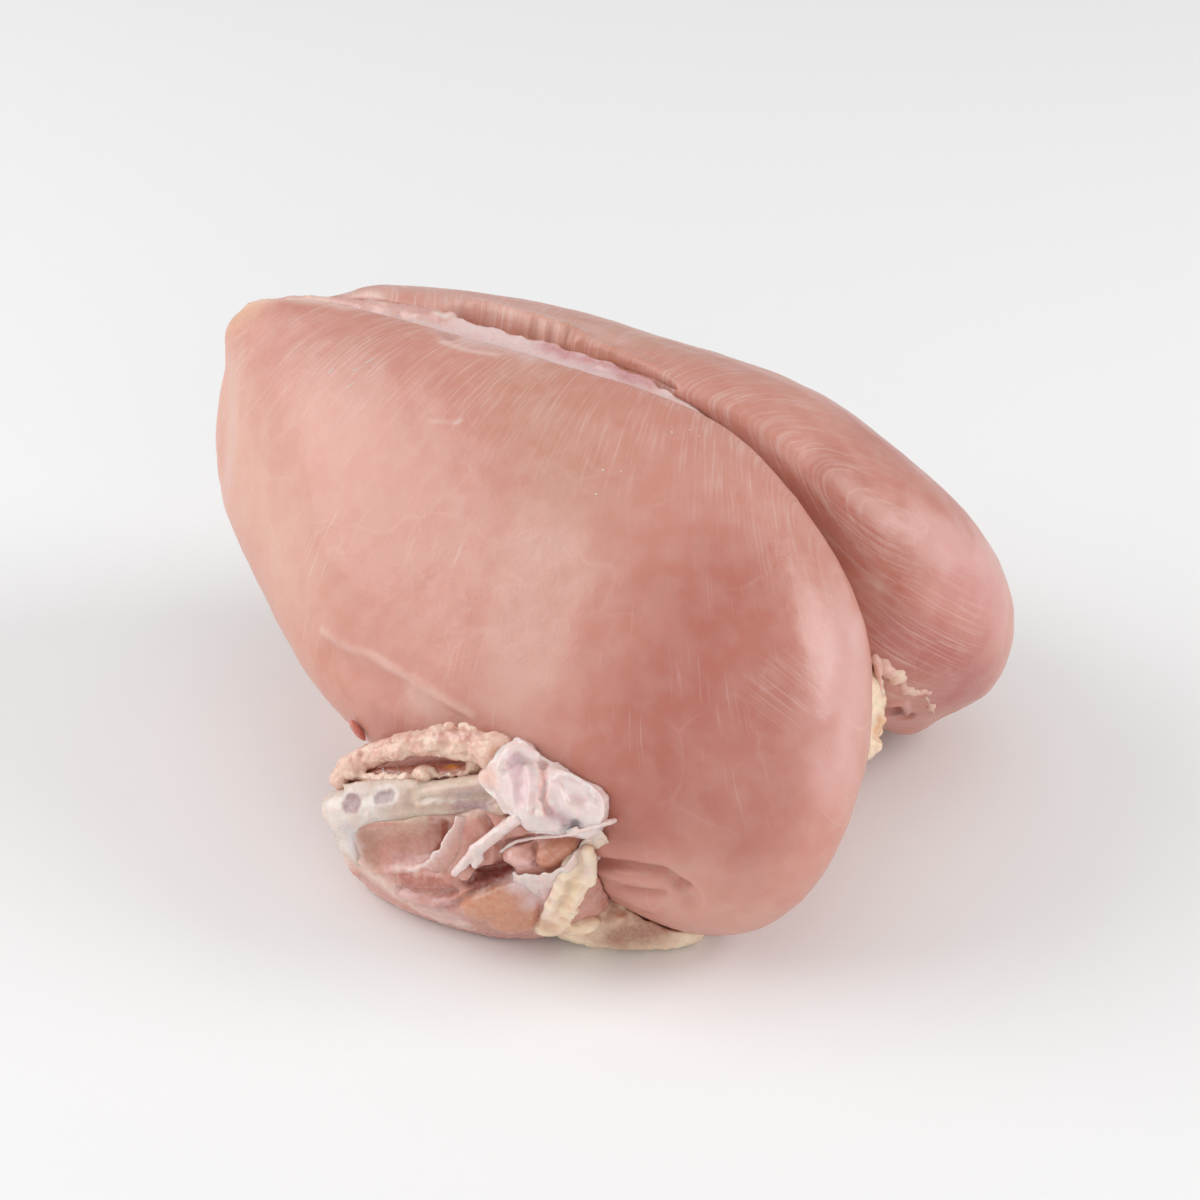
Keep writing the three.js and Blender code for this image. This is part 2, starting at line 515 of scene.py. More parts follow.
@dataclass(frozen=True)
class Sheet:
    """A thin torn sheet of tissue between two edges (mm).

    Attributes:
        edge: Points along the edge that is held.
        free: Points along the torn edge, as many as along the other.
        thick: Thickness.
        ragged: How far the torn edge strays.
        stray_size: Length of its ripples.
    """

    edge: tuple[Point, ...]
    free: tuple[Point, ...]
    thick: float
    ragged: float
    stray_size: float = 1.7

    def skin(self, cells: int = 5, step: float = 0.7) -> bpy.types.Object:
        """Closed sheet with its thickness.

        Args:
            cells: Number of faces from edge to edge.
            step: Size of the faces along the sheet.

        Returns:
            The sheet as an object of its own.
        """
        held = smooth_path(self.edge, step)
        torn = smooth_path(self.free, step)
        count = max(len(held), len(torn))
        rows = np.linspace(0, 1, count)
        held, torn = (
            np.stack([np.interp(rows, np.linspace(0, 1, len(line)), side) for side in line.T], axis=1)
            for line in (held, torn)
        )
        deselect()
        bpy.ops.mesh.primitive_grid_add(x_subdivisions=count - 1, y_subdivisions=cells, size=2)
        piece = bpy.context.object
        cell = np.array([vertex.co[:2] for vertex in piece.data.vertices])
        along = np.rint((cell[:, 0] + 1) / 2 * (count - 1)).astype(int)
        out = ((cell[:, 1] + 1) / 2)[:, None]
        places = held[along] + (torn - held)[along] * out
        stray = drift(torn[along], self.stray_size, TEAR_SHIFTS)
        move_points(piece, places + stray * out * self.ragged)
        apply_modifier(piece, "SOLIDIFY", thickness=self.thick * MM, offset=0)
        return piece


def knead(piece: bpy.types.Object, voxel: float, passes: int, balls: Sequence[Ball] = (),
          strands: Sequence[Strand] = (), sheets: Sequence[Sheet] = ()) -> None:
    """Work lumps, strands and sheets into one skin with a piece.

    Args:
        piece: The piece.
        voxel: Size of the new skin's faces in mm.
        passes: How often it is smoothed.
        balls: The lumps.
        strands: The strands.
        sheets: The sheets.
    """
    skins = [body.tube() for body in strands] + [body.skin() for body in sheets]
    activate(piece)
    for skin in skins:
        skin.select_set(True)
    if skins:
        bpy.ops.object.join()
    add_balls(piece, [*balls, *(ball for strand in strands for ball in strand.ends())])
    work_together(piece, voxel, passes)


class Wiring:
    """Adds and joins the nodes of one node tree."""

    def __init__(self, tree: bpy.types.NodeTree) -> None:
        """Start on a node tree."""
        self.tree = tree

    def add(self, kind: str, inputs: dict | None = None, **settings: object) -> bpy.types.Node:
        """Add a node.

        Args:
            kind: Blender's name of the node, without its first part.
            inputs: For each input by name or number, a value or the socket that feeds it.
            **settings: Other values of the node.

        Returns:
            The node.
        """
        node = self.tree.nodes.new(f"ShaderNode{kind}")
        for key, value in settings.items():
            setattr(node, key, value)
        for key, value in (inputs or {}).items():
            if isinstance(value, bpy.types.NodeSocket):
                self.tree.links.new(value, node.inputs[key])
            else:
                node.inputs[key].default_value = value
        return node

    def math(self, operation: str, first: object, second: object) -> bpy.types.NodeSocket:
        """Result of a sum on two values or sockets."""
        return self.add("Math", {0: first, 1: second}, operation=operation).outputs[0]

    def spread(self, value: bpy.types.NodeSocket, low: float, high: float) -> bpy.types.NodeSocket:
        """Smooth share from 0 at low to 1 at high."""
        inputs = {"Value": value, "From Min": low, "From Max": high}
        return self.add("MapRange", inputs, interpolation_type="SMOOTHSTEP").outputs["Result"]

    def blend(self, share: object, start: object, end: object, way: str = "MIX") -> bpy.types.NodeSocket:
        """Mix two colours.

        Args:
            share: How much of the second colour is used.
            start: First colour.
            end: Second colour.
            way: Blender's name of the way of mixing.

        Returns:
            The mixed colour.
        """
        mix = self.add("Mix", {0: share, 6: start, 7: end}, data_type="RGBA", blend_type=way)
        return mix.outputs[2]

    def paler(self, colour: bpy.types.NodeSocket, mask: bpy.types.NodeSocket,
              cover: float) -> bpy.types.NodeSocket:
        """Colour that a mask draws towards pearl.

        Args:
            colour: The colour.
            mask: Where it is paler, from 0 to 1.
            cover: How much paler it is there.

        Returns:
            The paler colour.
        """
        return self.blend(self.math("MULTIPLY", mask, cover), colour, (*PEARL, 1))

    def clouds(self, place: bpy.types.NodeSocket, scale: object, detail: float = 2.0,
               roughness: float = 0.5) -> bpy.types.Node:
        """Add soft noise.

        Args:
            place: Where it is read.
            scale: How many clouds there are to the metre, as a value or a socket.
            detail: How many finer layers it has.
            roughness: How strong those are.

        Returns:
            The node.
        """
        inputs = {"Vector": place, "Scale": scale, "Detail": detail, "Roughness": roughness}
        return self.add("TexNoise", inputs)

    def give(self, value: bpy.types.NodeSocket, target: bpy.types.NodeSocket) -> None:
        """Feed a socket with a value."""
        self.tree.links.new(value, target)


def start_group(name: str, inputs: dict[str, str], outputs: dict[str, str]) -> tuple[Wiring, dict, dict]:
    """Start a shader node group.

    Args:
        name: Name of the group.
        inputs: Kind of each input socket by name.
        outputs: Kind of each output socket by name.

    Returns:
        The group's wiring, its input sockets and its output sockets.
    """
    tree = bpy.data.node_groups.new(name, "ShaderNodeTree")
    for label, kind in inputs.items():
        tree.interface.new_socket(label, in_out="INPUT", socket_type=f"NodeSocket{kind}")
    for label, kind in outputs.items():
        tree.interface.new_socket(label, in_out="OUTPUT", socket_type=f"NodeSocket{kind}")
    source = tree.nodes.new("NodeGroupInput")
    target = tree.nodes.new("NodeGroupOutput")
    return Wiring(tree), source.outputs, target.inputs


def mottle_group() -> bpy.types.NodeTree:
    """Wire the group that gives soft blotches and small flecks over raw tissue.

    Returns:
        The group.
    """
    wiring, given, result = start_group(
        "raw_mottle", {"Vector": "Vector", "Blotch Scale": "Float"}, {"Blotch": "Float", "Fleck": "Float"}
    )
    flecks_to_blotch = 7.0
    blotch = wiring.clouds(given["Vector"], given["Blotch Scale"], roughness=0.55)
    finer = wiring.math("MULTIPLY", given["Blotch Scale"], flecks_to_blotch)
    fleck = wiring.clouds(given["Vector"], finer)
    wiring.give(wiring.spread(blotch.outputs[0], low=0.3, high=0.7), result["Blotch"])
    wiring.give(wiring.spread(fleck.outputs[0], low=0.35, high=0.65), result["Fleck"])
    return wiring.tree


def grain_group() -> bpy.types.NodeTree:
    """Wire the group that gives the fine moist grain of raw tissue.

    Returns:
        The group.
    """
    wiring, given, result = start_group(
        "moist_grain", {"Vector": "Vector", "Grain Scale": "Float"}, {"Height": "Float", "Dry": "Float"}
    )
    films_to_grain = 0.2
    grain = wiring.clouds(given["Vector"], given["Grain Scale"], roughness=0.6)
    coarser = wiring.math("MULTIPLY", given["Grain Scale"], films_to_grain)
    film = wiring.clouds(given["Vector"], coarser)
    wiring.give(grain.outputs[0], result["Height"])
    wiring.give(wiring.spread(film.outputs[0], low=0.3, high=0.7), result["Dry"])
    return wiring.tree


def fibre_group() -> bpy.types.NodeTree:
    """Wire the group that gives streaks along muscle fibres.

    Returns:
        The group.
    """
    wiring, given, result = start_group(
        "muscle_fibres",
        dict.fromkeys(("Across", "Along", "Pitch", "Length", "Low", "High"), "Float"),
        {"Streak": "Float", "Height": "Float"},
    )
    across = wiring.math("MULTIPLY", given["Across"], given["Pitch"])
    along = wiring.math("DIVIDE", given["Along"], given["Length"])
    place = wiring.add("CombineXYZ", {"X": across, "Y": along})
    fibre = wiring.clouds(place.outputs[0], 1.0, roughness=0.6)
    wiring.give(wiring.spread(fibre.outputs[0], given["Low"], given["High"]), result["Streak"])
    wiring.give(fibre.outputs[0], result["Height"])
    return wiring.tree


def web_group() -> bpy.types.NodeTree:
    """Wire the group that gives fine broken lines of fascia.

    Returns:
        The group.
    """
    wiring, given, result = start_group(
        "fascia_web", {"Vector": "Vector", "Scale": "Float"}, {"Line": "Float"}
    )
    bend = 0.03
    line_width = 0.045
    stray = wiring.clouds(given["Vector"], given["Scale"], detail=1.0)
    shift = wiring.add("VectorMath", {0: stray.outputs[1], "Scale": bend}, operation="SCALE")
    place = wiring.add("VectorMath", {0: given["Vector"], 1: shift.outputs[0]}, operation="ADD")
    cells = wiring.add(
        "TexVoronoi", {"Vector": place.outputs[0], "Scale": given["Scale"]}, feature="DISTANCE_TO_EDGE"
    )
    line = wiring.spread(cells.outputs["Distance"], low=line_width, high=0.0)
    patch = wiring.spread(stray.outputs[0], low=0.48, high=0.62)
    wiring.give(wiring.math("MULTIPLY", line, patch), result["Line"])
    return wiring.tree


class Groups:
    """The node groups that the finishes share."""

    def __init__(self) -> None:
        """Build each group once."""
        self.mottle = mottle_group()
        self.grain = grain_group()
        self.fibres = fibre_group()
        self.web = web_group()


@dataclass(frozen=True)
class MoistFinish:
    """Finish of raw tissue whose colours are painted on the piece.

    Attributes:
        name: Name of the material.
        blotch_scale: Blotches to the metre.
        blotch_depth: How much darker and redder a blotch is.
        blush: Colour that blotches are multiplied by.
        roughness: Roughness where the film is wettest.
        dry: Roughness added where the film is thin.
        coat: Weight of the wet coat.
        scatter: Depth in mm that light goes into the tissue.
        scatter_weight: Share of light that goes into it.
        grain: Height of the fine grain in mm.
        grain_scale: Grains to the metre.
    """

    name: str
    blotch_scale: float
    blotch_depth: float
    blush: Colour
    roughness: float
    dry: float
    coat: float
    scatter: float
    scatter_weight: float
    grain: float
    grain_scale: float

    def surface(self, wiring: Wiring, colour: bpy.types.NodeSocket, height: bpy.types.NodeSocket,
                rough: bpy.types.NodeSocket) -> None:
        """Join colour, relief and roughness to the shader.

        Args:
            wiring: Wiring of the material.
            colour: Colour of the tissue.
            height: Height of its fine relief, from 0 to 1.
            rough: Its roughness.
        """
        bump = wiring.add("Bump", {"Strength": 1.0, "Distance": self.grain * MM, "Height": height})
        shader = wiring.add(
            "BsdfPrincipled",
            {
                "Base Color": colour,
                "Roughness": rough,
                "Normal": bump.outputs[0],
                "Subsurface Weight": self.scatter_weight,
                "Subsurface Radius": LIGHT_REACH,
                "Subsurface Scale": self.scatter * MM,
                "Coat Weight": self.coat,
                "Coat Roughness": FILM_ROUGHNESS,
                "IOR": TISSUE_IOR,
            },
        )
        output = wiring.add("OutputMaterial")
        wiring.give(shader.outputs[0], output.inputs["Surface"])

    def start(self) -> tuple[bpy.types.Material, Wiring]:
        """Start the material without any nodes.

        Returns:
            The material and its wiring.
        """
        material = bpy.data.materials.new(self.name)
        material.use_nodes = True
        material.node_tree.nodes.clear()
        return material, Wiring(material.node_tree)

    def tissue(self, wiring: Wiring, groups: Groups) -> tuple[bpy.types.NodeSocket, ...]:
        """Painted colour with blotches, and the fine grain.

        Args:
            wiring: Wiring of the material.
            groups: The shared node groups.

        Returns:
            The colour, the grain's height and the roughness.
        """
        place = wiring.add("TexCoord").outputs["Object"]
        tint = wiring.add("Attribute", attribute_name="tint").outputs["Color"]
        mottle = wiring.add("Group", node_tree=groups.mottle)
        grain = wiring.add("Group", node_tree=groups.grain)
        for group, name, scale in (
            (mottle, "Blotch Scale", self.blotch_scale),
            (grain, "Grain Scale", self.grain_scale),
        ):
            wiring.give(place, group.inputs["Vector"])
            group.inputs[name].default_value = scale
        deep = wiring.math("MULTIPLY", mottle.outputs["Blotch"], self.blotch_depth)
        colour = wiring.blend(deep, tint, (*self.blush, 1), "MULTIPLY")
        colour = wiring.paler(colour, mottle.outputs["Fleck"], 0.5 * self.blotch_depth)
        damp = wiring.add(
            "MapRange",
            {"Value": grain.outputs["Dry"], "To Min": self.roughness, "To Max": self.roughness + self.dry},
        )
        return colour, grain.outputs["Height"], damp.outputs["Result"]

    def material(self, groups: Groups) -> bpy.types.Material:
        """Build the material.

        Args:
            groups: The shared node groups.

        Returns:
            The material.
        """
        material, wiring = self.start()
        colour, height, rough = self.tissue(wiring, groups)
        self.surface(wiring, colour, height, rough)
        return material


@dataclass(frozen=True)
class Hatch:
    """A patch of fine parallel lines on the meat.

    Attributes:
        middle: Middle of the patch in mm.
        size: Distance at which the lines have faded out, in mm.
        pitch: Lines to each centimetre.
        cover: How much paler a line is.
        across: Direction across the lines.
        along: Direction along them.
    """

    middle: Point
    size: float
    pitch: float
    cover: float
    across: Point
    along: Point


HATCHES = (
    Hatch((72, -38, 60), 10, 18, 0.2, (0.30, 0.69, 0.66), (0.85, 0.13, -0.51)),
    Hatch((76, 11, 43), 27, 19, 0.22, (0.53, 0.41, 0.74), (0.41, 0.64, -0.65)),
    Hatch((66, 5, 64), 20, 18, 0.16, (0.62, 0.10, 0.78), (0.30, 0.75, -0.58)),
)


@dataclass(frozen=True)
class FibreFinish(MoistFinish):
    """Finish of the breast muscle, with fibres that fan out from the breastbone.

    Attributes:
        fibre_pitch: Fibre streaks to each centimetre across them.
        fibre_cover: How much paler a fibre streak is.
        line_pitch: Places for a thin pale line to each centimetre.
        line_cover: How much paler such a line is.
        web_scale: Meshes of the fascia web to the metre.
        web_cover: How much paler the web is.
        patch_scale: Patches in which fibres show to the metre.
        furrow: Height of the fibres' furrows against the fine grain.
        hatches: Patches of fine parallel lines.
    """

    fibre_pitch: float = 18.0
    fibre_cover: float = 0.26
    line_pitch: float = 22.0
    line_cover: float = 0.14
    web_scale: float = 55.0
    web_cover: float = 0.05
    patch_scale: float = 45.0
    furrow: float = 1.6
    hatches: tuple[Hatch, ...] = HATCHES

    def streaks(self, wiring: Wiring, groups: Groups, across: bpy.types.NodeSocket,
                along: bpy.types.NodeSocket, **values: float) -> bpy.types.Node:
        """Streaks along fibres.

        Args:
            wiring: Wiring of the material.
            groups: The shared node groups.
            across: Place across the fibres.
            along: Place along them.
            **values: Pitch, Length, Low and High of the fibre group.

        Returns:
            The node of the fibre group.
        """
        inputs = {"Across": across, "Along": along, **values}
        return wiring.add("Group", inputs, node_tree=groups.fibres)

    def hatching(self, wiring: Wiring, groups: Groups, place: bpy.types.NodeSocket,
                 hatch: Hatch) -> bpy.types.NodeSocket:
        """Fine lines on one patch.

        Args:
            wiring: Wiring of the material.
            groups: The shared node groups.
            place: Object coordinates.
            hatch: The patch.

        Returns:
            Where the lines are, from 0 to 1.
        """
        to_centimetres = 100
        inner_share = 0.2
        across, along = (
            wiring.add(
                "VectorMath",
                {0: place, 1: [to_centimetres * value for value in way]},
                operation="DOT_PRODUCT",
            ).outputs["Value"]
            for way in (hatch.across, hatch.along)
        )
        lines = self.streaks(
            wiring, groups, across, along, Pitch=hatch.pitch, Length=2.6, Low=0.46, High=0.68
        )
        middle = [MM * value for value in hatch.middle]
        gap = wiring.add("VectorMath", {0: place, 1: middle}, operation="DISTANCE").outputs["Value"]
        patch = wiring.spread(gap, low=hatch.size * MM, high=inner_share * hatch.size * MM)
        return wiring.math("MULTIPLY", lines.outputs["Streak"], patch)

    def material(self, groups: Groups) -> bpy.types.Material:
        """Build the material.

        Args:
            groups: The shared node groups.

        Returns:
            The material.
        """
        material, wiring = self.start()
        colour, height, rough = self.tissue(wiring, groups)
        place = wiring.add("TexCoord").outputs["Object"]
        weave = wiring.add("SeparateXYZ", {0: wiring.add("UVMap", uv_map="fibre").outputs[0]})
        fan, fall = weave.outputs[0], weave.outputs[1]
        patch = wiring.clouds(place, self.patch_scale).outputs[0]
        near_ridge = wiring.spread(fall, low=0.44, high=0.06)
        ridge = wiring.math("MULTIPLY", near_ridge, wiring.spread(patch, low=0.2, high=0.52))
        down_flank = wiring.spread(fall, low=0.2, high=0.5)
        flank = wiring.math("MULTIPLY", down_flank, wiring.spread(patch, low=0.42, high=0.62))
        fibres = self.streaks(
            wiring, groups, fan, fall, Pitch=self.fibre_pitch, Length=0.12, Low=0.46, High=0.74
        )
        lines = self.streaks(
            wiring, groups, fan, fall, Pitch=self.line_pitch, Length=0.16, Low=0.6, High=0.72
        )
        for streaks, where, cover in ((fibres, ridge, self.fibre_cover), (lines, flank, self.line_cover)):
            mask = wiring.math("MULTIPLY", streaks.outputs["Streak"], where)
            colour = wiring.paler(colour, mask, cover)
        web = wiring.add("Group", {"Vector": place, "Scale": self.web_scale}, node_tree=groups.web)
        colour = wiring.paler(colour, web.outputs["Line"], self.web_cover)
        for hatch in self.hatches:
            colour = wiring.paler(colour, self.hatching(wiring, groups, place, hatch), hatch.cover)
        relief = wiring.math("MULTIPLY", fibres.outputs["Height"], ridge)
        furrows = wiring.math("MULTIPLY", relief, self.furrow)
        self.surface(wiring, colour, wiring.math("ADD", furrows, height), rough)
        return material


MEAT = FibreFinish(
    name="breast_meat", blotch_scale=26, blotch_depth=0.13, blush=tone(236, 210, 200), roughness=0.32,
    dry=0.12, coat=0.3, scatter=3.0, scatter_weight=0.2, grain=0.11, grain_scale=900,
)
FLESH = MoistFinish(
    name="shoulder_flesh", blotch_scale=130, blotch_depth=0.2, blush=tone(226, 186, 176), roughness=0.18,
    dry=0.16, coat=0.5, scatter=2.0, scatter_weight=0.3, grain=0.12, grain_scale=1100,
)
GRISTLE = MoistFinish(
    name="gristle", blotch_scale=190, blotch_depth=0.26, blush=tone(230, 200, 204), roughness=0.22,
    dry=0.16, coat=0.4, scatter=2.0, scatter_weight=0.45, grain=0.12, grain_scale=900,
)
SHAFT = MoistFinish(
    name="blade_bone", blotch_scale=170, blotch_depth=0.24, blush=tone(222, 208, 206), roughness=0.2,
    dry=0.16, coat=0.4, scatter=2.4, scatter_weight=0.5, grain=0.1, grain_scale=900,
)
FATTY = MoistFinish(
    name="fat", blotch_scale=240, blotch_depth=0.28, blush=tone(228, 176, 158), roughness=0.24,
    dry=0.18, coat=0.4, scatter=1.6, scatter_weight=0.3, grain=0.2, grain_scale=1000,
)
ROLL_FAT = MoistFinish(
    name="roll_fat", blotch_scale=210, blotch_depth=0.4, blush=tone(224, 158, 144), roughness=0.18,
    dry=0.18, coat=0.5, scatter=1.8, scatter_weight=0.3, grain=0.24, grain_scale=900,
)
FASCIA = MoistFinish(
    name="fascia", blotch_scale=150, blotch_depth=0.2, blush=tone(236, 206, 200), roughness=0.2,
    dry=0.16, coat=0.5, scatter=1.6, scatter_weight=0.5, grain=0.1, grain_scale=800,
)
RIB_LINING = MoistFinish(
    name="rib_lining", blotch_scale=60, blotch_depth=0.36, blush=tone(224, 176, 166), roughness=0.28,
    dry=0.2, coat=0.4, scatter=2.2, scatter_weight=0.35, grain=0.2, grain_scale=700,
)


class Palette:
    """The materials of all finishes, each made once."""

    def __init__(self) -> None:
        """Build the shared groups and the materials."""
        groups = Groups()
        finishes = (MEAT, FLESH, GRISTLE, SHAFT, FATTY, ROLL_FAT, FASCIA, RIB_LINING)
        self.materials = {finish.name: finish.material(groups) for finish in finishes}

    def dress(self, piece: bpy.types.Object, finish: MoistFinish, slot: Slot, *nodes: str) -> None:
        """Give a piece its finish and its place in the frame.

        Args:
            piece: The finished mesh.
            finish: Its finish.
            slot: The record's slot for it; not used.
            *nodes: Solids that the piece stands for.
        """
        piece.data.materials.clear()
        piece.data.materials.append(self.materials[finish.name])
        activate(piece)
        bpy.ops.object.shade_smooth()
        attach(piece, "root")
        if nodes:
            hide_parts(*nodes)
        LOG.info("%s: %d faces", piece.name, len(piece.data.polygons))


@dataclass
class BreastMuscle:
    """One lobe of breast meat.

    Attributes:
        side: The half that it is on.
        voxel: Size of its skin's faces in mm.
        passes: How often its skin is smoothed.
        crest: Height of the ridge in mm.
        girth: Distance round the lobe from the ridge to its foot in mm.
        fan_centre: Place along the breast from which the fibres fan out, in mm.
        fan_spread: How fast they part, to each mm from the ridge.
        lumps: Height and size of its uneven lumps in mm.
        ragged: Raggedness of its painted strokes in mm.
        hollow_shade: Painted shade in its hollows, partly the orange-brown of their walls.
        lip_highlight: Painted highlight along the hollows' raised edges.
        tail_drop: How far the right lobe's tail hangs lower.
        tail_passes: How often that tail is smoothed.
        creases: Folds of both lobes, given on the left one.
        colours: Painted colours, given on the left lobe.
    """

    side: Side
    voxel: float = 0.7
    passes: int = 46
    crest: float = 96.0
    girth: float = 100.0
    fan_centre: float = 5.0
    fan_spread: float = 0.017
    lumps: tuple[tuple[float, float], ...] = ((0.4, 26), (0.16, 7))
    ragged: float = 4.0
    hollow_shade: Colour = tone(176, 108, 78)
    lip_highlight: Colour = tone(226, 190, 178)
    tail_drop: Stroke = Stroke(((-84, 4, 82), (-76, 4, 88), (-66, 4, 92)), 16, 1.5, edge=0.7)
    tail_passes: int = 60
    creases: tuple[Stroke, ...] = (
        Stroke(((43, -64.2, 25), (54, -63.5, 27.4), (60.5, -62.4, 28.2), (64.4, -61.2, 25.4)), 1.9, -2.3),
        Stroke(((65, -61, 24.4), (66, -60.4, 22)), 3.2, -1.5),
        Stroke(((44, -64.4, 29.5), (54, -64, 31.4), (62, -62.6, 32)), 5.0, 0.8),
        Stroke(((44, -64.2, 19.6), (52, -63, 20.8), (60, -61.4, 22.4)), 1.6, -1.4),
        Stroke(((45, -64.4, 22.6), (58, -62.6, 25)), 3.0, 0.8),
        Stroke(((46, -63, 16), (58, -60.5, 18)), 4.0, 0.6),
        Stroke(((-25.4, -52.6, 48.9), (-3.4, -57.5, 49.5), (15.1, -60, 47.1)), 1.8, 0.4),
        Stroke(((-22, -53.5, 44.5), (-2, -58, 45), (12, -60, 43)), 6.0, -0.9),
        Stroke(((-82, -9, 72), (-79, -16, 64), (-76.6, -19, 57)), 13.0, -1.6),
        Stroke(((-82, -1, 86), (-75, -1, 90.6), (-69, -1, 92)), 10.0, -0.8),
        Stroke(((-83.4, -4.4, 79),), 10.0, 1.3),
    )
    colours: tuple[Stroke, ...] = (
        # Broad tones of the lobe, partly its own colour and partly painted light and shade: lighter buff and
        # peach where the key lamp falls on the left flank and tail, darker tan and rose on the top and the
        # right
        Stroke(((-86, -16, 68), (-60, -34, 62), (-40, -44, 52)), 30, 0.45, BUFF),
        Stroke(((-70, -30, 44), (-46, -44, 38), (-24, -52, 36)), 18, 0.6, tone(210, 144, 122)),
        Stroke(((-58, -12, 89), (-36, -20, 89)), 17, 0.7, tone(196, 132, 118)),
        Stroke(((-84, -4, 86), (-78, -3, 90)), 9, 0.8, STRAW),
        Stroke(((-40, -30, 84), (-5, -46, 74), (5, -54, 58)), 26, 0.5, PEACH),
        Stroke(((0, -12, 95), (14, -26, 90), (22, -36, 83)), 20, 0.55, TAN),
        Stroke(((22, -42, 77), (23, -54, 60), (26, -60, 46)), 16, 0.6, tone(222, 178, 166)),
        Stroke(((58, -34, 74), (56, -52, 56), (56, -60, 40)), 26, 0.8, ROSE),
        Stroke(((73, -40, 60), (76, -52, 42)), 16, 0.7, ROSE),
        Stroke(((64, -61, 27), (70, -54, 18)), 16, 0.6, PEACH),
        Stroke(((2, -58.5, 46), (12, -60, 43)), 8, 0.55, tone(226, 190, 180)),
        Stroke(((-25.4, -52.6, 48.9), (-3.4, -57.5, 49.5), (15.1, -60, 47.1)), 1.7, 0.5, tone(234, 204, 194)),
        # Painted sheen along the right front edge
        Stroke(((76, -18, 66), (80, -30, 54), (80, -36, 44)), 14, 0.5, tone(228, 184, 182)),
        # Painted highlight on the raised band below the crease
        Stroke(((46, -64.4, 22.8), (58, -62.6, 25)), 3.0, 0.4, PEACH),
        Stroke(((-15, -27.2, 88.9), (-10.4, -26.7, 89.5)), 0.9, 0.16),
        Stroke(((-9.4, -26.6, 89.6), (-8.8, -26, 90)), 1.0, 0.4),
        Stroke(
            ((-80, -2, 87), (-72, -2.4, 90.4), (-60, -2.6, 93), (-48, -2.8, 94.4)),
            3.4, 0.8, tone(232, 204, 192),
        ),
        # Painted shade along the lower crease
        Stroke(((43, -64.2, 25), (54, -63.5, 27.4), (60.5, -62.4, 28.2), (65, -61, 24)), 1.8, 0.5, CREASE_SHADE),
    )

    def flush(self) -> tuple[Stroke, ...]:
        """Colours that only one lobe has: membrane on the left one, deeper reds on the right one.

        Returns:
            The painted strokes; on the right lobe they include painted shade where it faces the cleft and in
            its torn holes.
        """
        if self.side is Side.LEFT:
            return (
                Stroke(
                    ((-27, -4.6, 95.7), (-20, -5.8, 96), (-13, -5.4, 96), (-5, -4.4, 95.9)),
                    5.2, 0.85, tone(217, 182, 175),
                ),
                Stroke(
                    ((-24, -9.0, 95.8), (-17, -9.6, 95.9), (-11, -8.6, 96)), 1.2, 0.5, tone(236, 210, 202)
                ),
            )
        return (
            # Deeper red where the right lobe faces the cleft, partly its own colour and partly painted shade
            Stroke(((60, 6, 80), (66, 6, 73), (73, 9, 64), (75, 8, 54)), 14, 0.95, tone(176, 99, 80)),
            Stroke(((76, 10, 46), (82, 22, 37), (80, 30, 24)), 16, 0.85, tone(183, 103, 96)),
            Stroke(((81, 22, 55), (85, 35, 45)), 12, 0.55, tone(198, 128, 122)),
            Stroke(((-50, 8, 94), (-27, 10.3, 95.8), (6, 11, 95.5)), 7, 0.5, tone(222, 180, 168)),
            # Painted shade in the torn holes at the neck end
            Stroke(((70.3, 16.6, 22.4), (71.4, 21, 18)), 3.4, 0.9, tone(112, 56, 60)),
            Stroke(((70.7, 14.1, 25.8), (72.8, 16, 26), (72, 19.5, 21)), 1.2, 0.7, tone(220, 176, 166)),
        )

    def hollows(self) -> tuple[Stroke, ...]:
        """Hollows beside the breastbone, deeper on the right lobe.

        Returns:
            The pressed strokes.
        """
        if self.side is Side.LEFT:
            return (
                Stroke(((-25.8, -4.8, 95.6), (-23.4, -6.4, 95.9)), 1.9, -1.0),
                Stroke(((-10, -3.4, 95.6), (4, -3, 95.5), (16, -2.2, 94.9)), 1.3, -0.6),
            )
        return (
            Stroke(((-28, 4.4, 95.5), (-22, 4.8, 95.7), (-12, 5.0, 95.9), (-5, 4.8, 95.8)), 4.7, -4.2),
            Stroke(((-4, 3.6, 95.8), (8, 3.4, 95.6), (16, 2.8, 95), (23, 1.8, 93.4)), 2.8, -2.6),
        )

    def tears(self) -> tuple[Stroke, ...]:
        """Torn hollows and drawn-in edge at the neck end, and the flat tail of the right lobe.

        Returns:
            The pressed strokes.
        """
        if self.side is Side.LEFT:
            return ()
        return (
            Stroke(((70.3, 16.6, 22.4),), 2.8, -2.8),
            Stroke(((71.4, 21, 18),), 2.6, -2.2),
            Stroke(((66.5, 33, 7.4),), 8.0, 1.7),
            Stroke(((75.6, 36, 12),), 8.0, -1.5),
            Stroke(((-84, 3, 80), (-78, 2, 88), (-70, 2, 91.6), (-64, 2, 92.6)), 10.0, -3.4),
            Stroke(((70.7, 14.1, 25.8), (72.8, 16, 26), (72, 19.5, 21)), 1.5, 0.8),
        )

    def lips(self) -> tuple[Stroke, ...]:
        """Raised edges and pleats of the hollow on the right lobe.

        Returns:
            The pressed strokes.
        """
        if self.side is Side.LEFT:
            return ()
        return (
            Stroke(((-27, 9.0, 95.1), (-20, 9.2, 95.5), (-8, 9.2, 95.7), (-1, 8.0, 95.8)), 3.2, 0.9),
            Stroke(((0, 6.6, 95.8), (10, 6.2, 95.5), (18, 5.2, 94.8), (24, 3.8, 93.2)), 2.0, 0.7),
            Stroke(((-13.5, 8.4, 95.6), (-12.8, 4.4, 95.6)), 1.4, 0.9),
            Stroke(((-9.5, 8.2, 95.7), (-8.6, 4.0, 95.7)), 1.5, 1.5),
            Stroke(((-5.0, 8.0, 95.8), (-4.2, 3.6, 95.8)), 1.7, 1.7),
        )

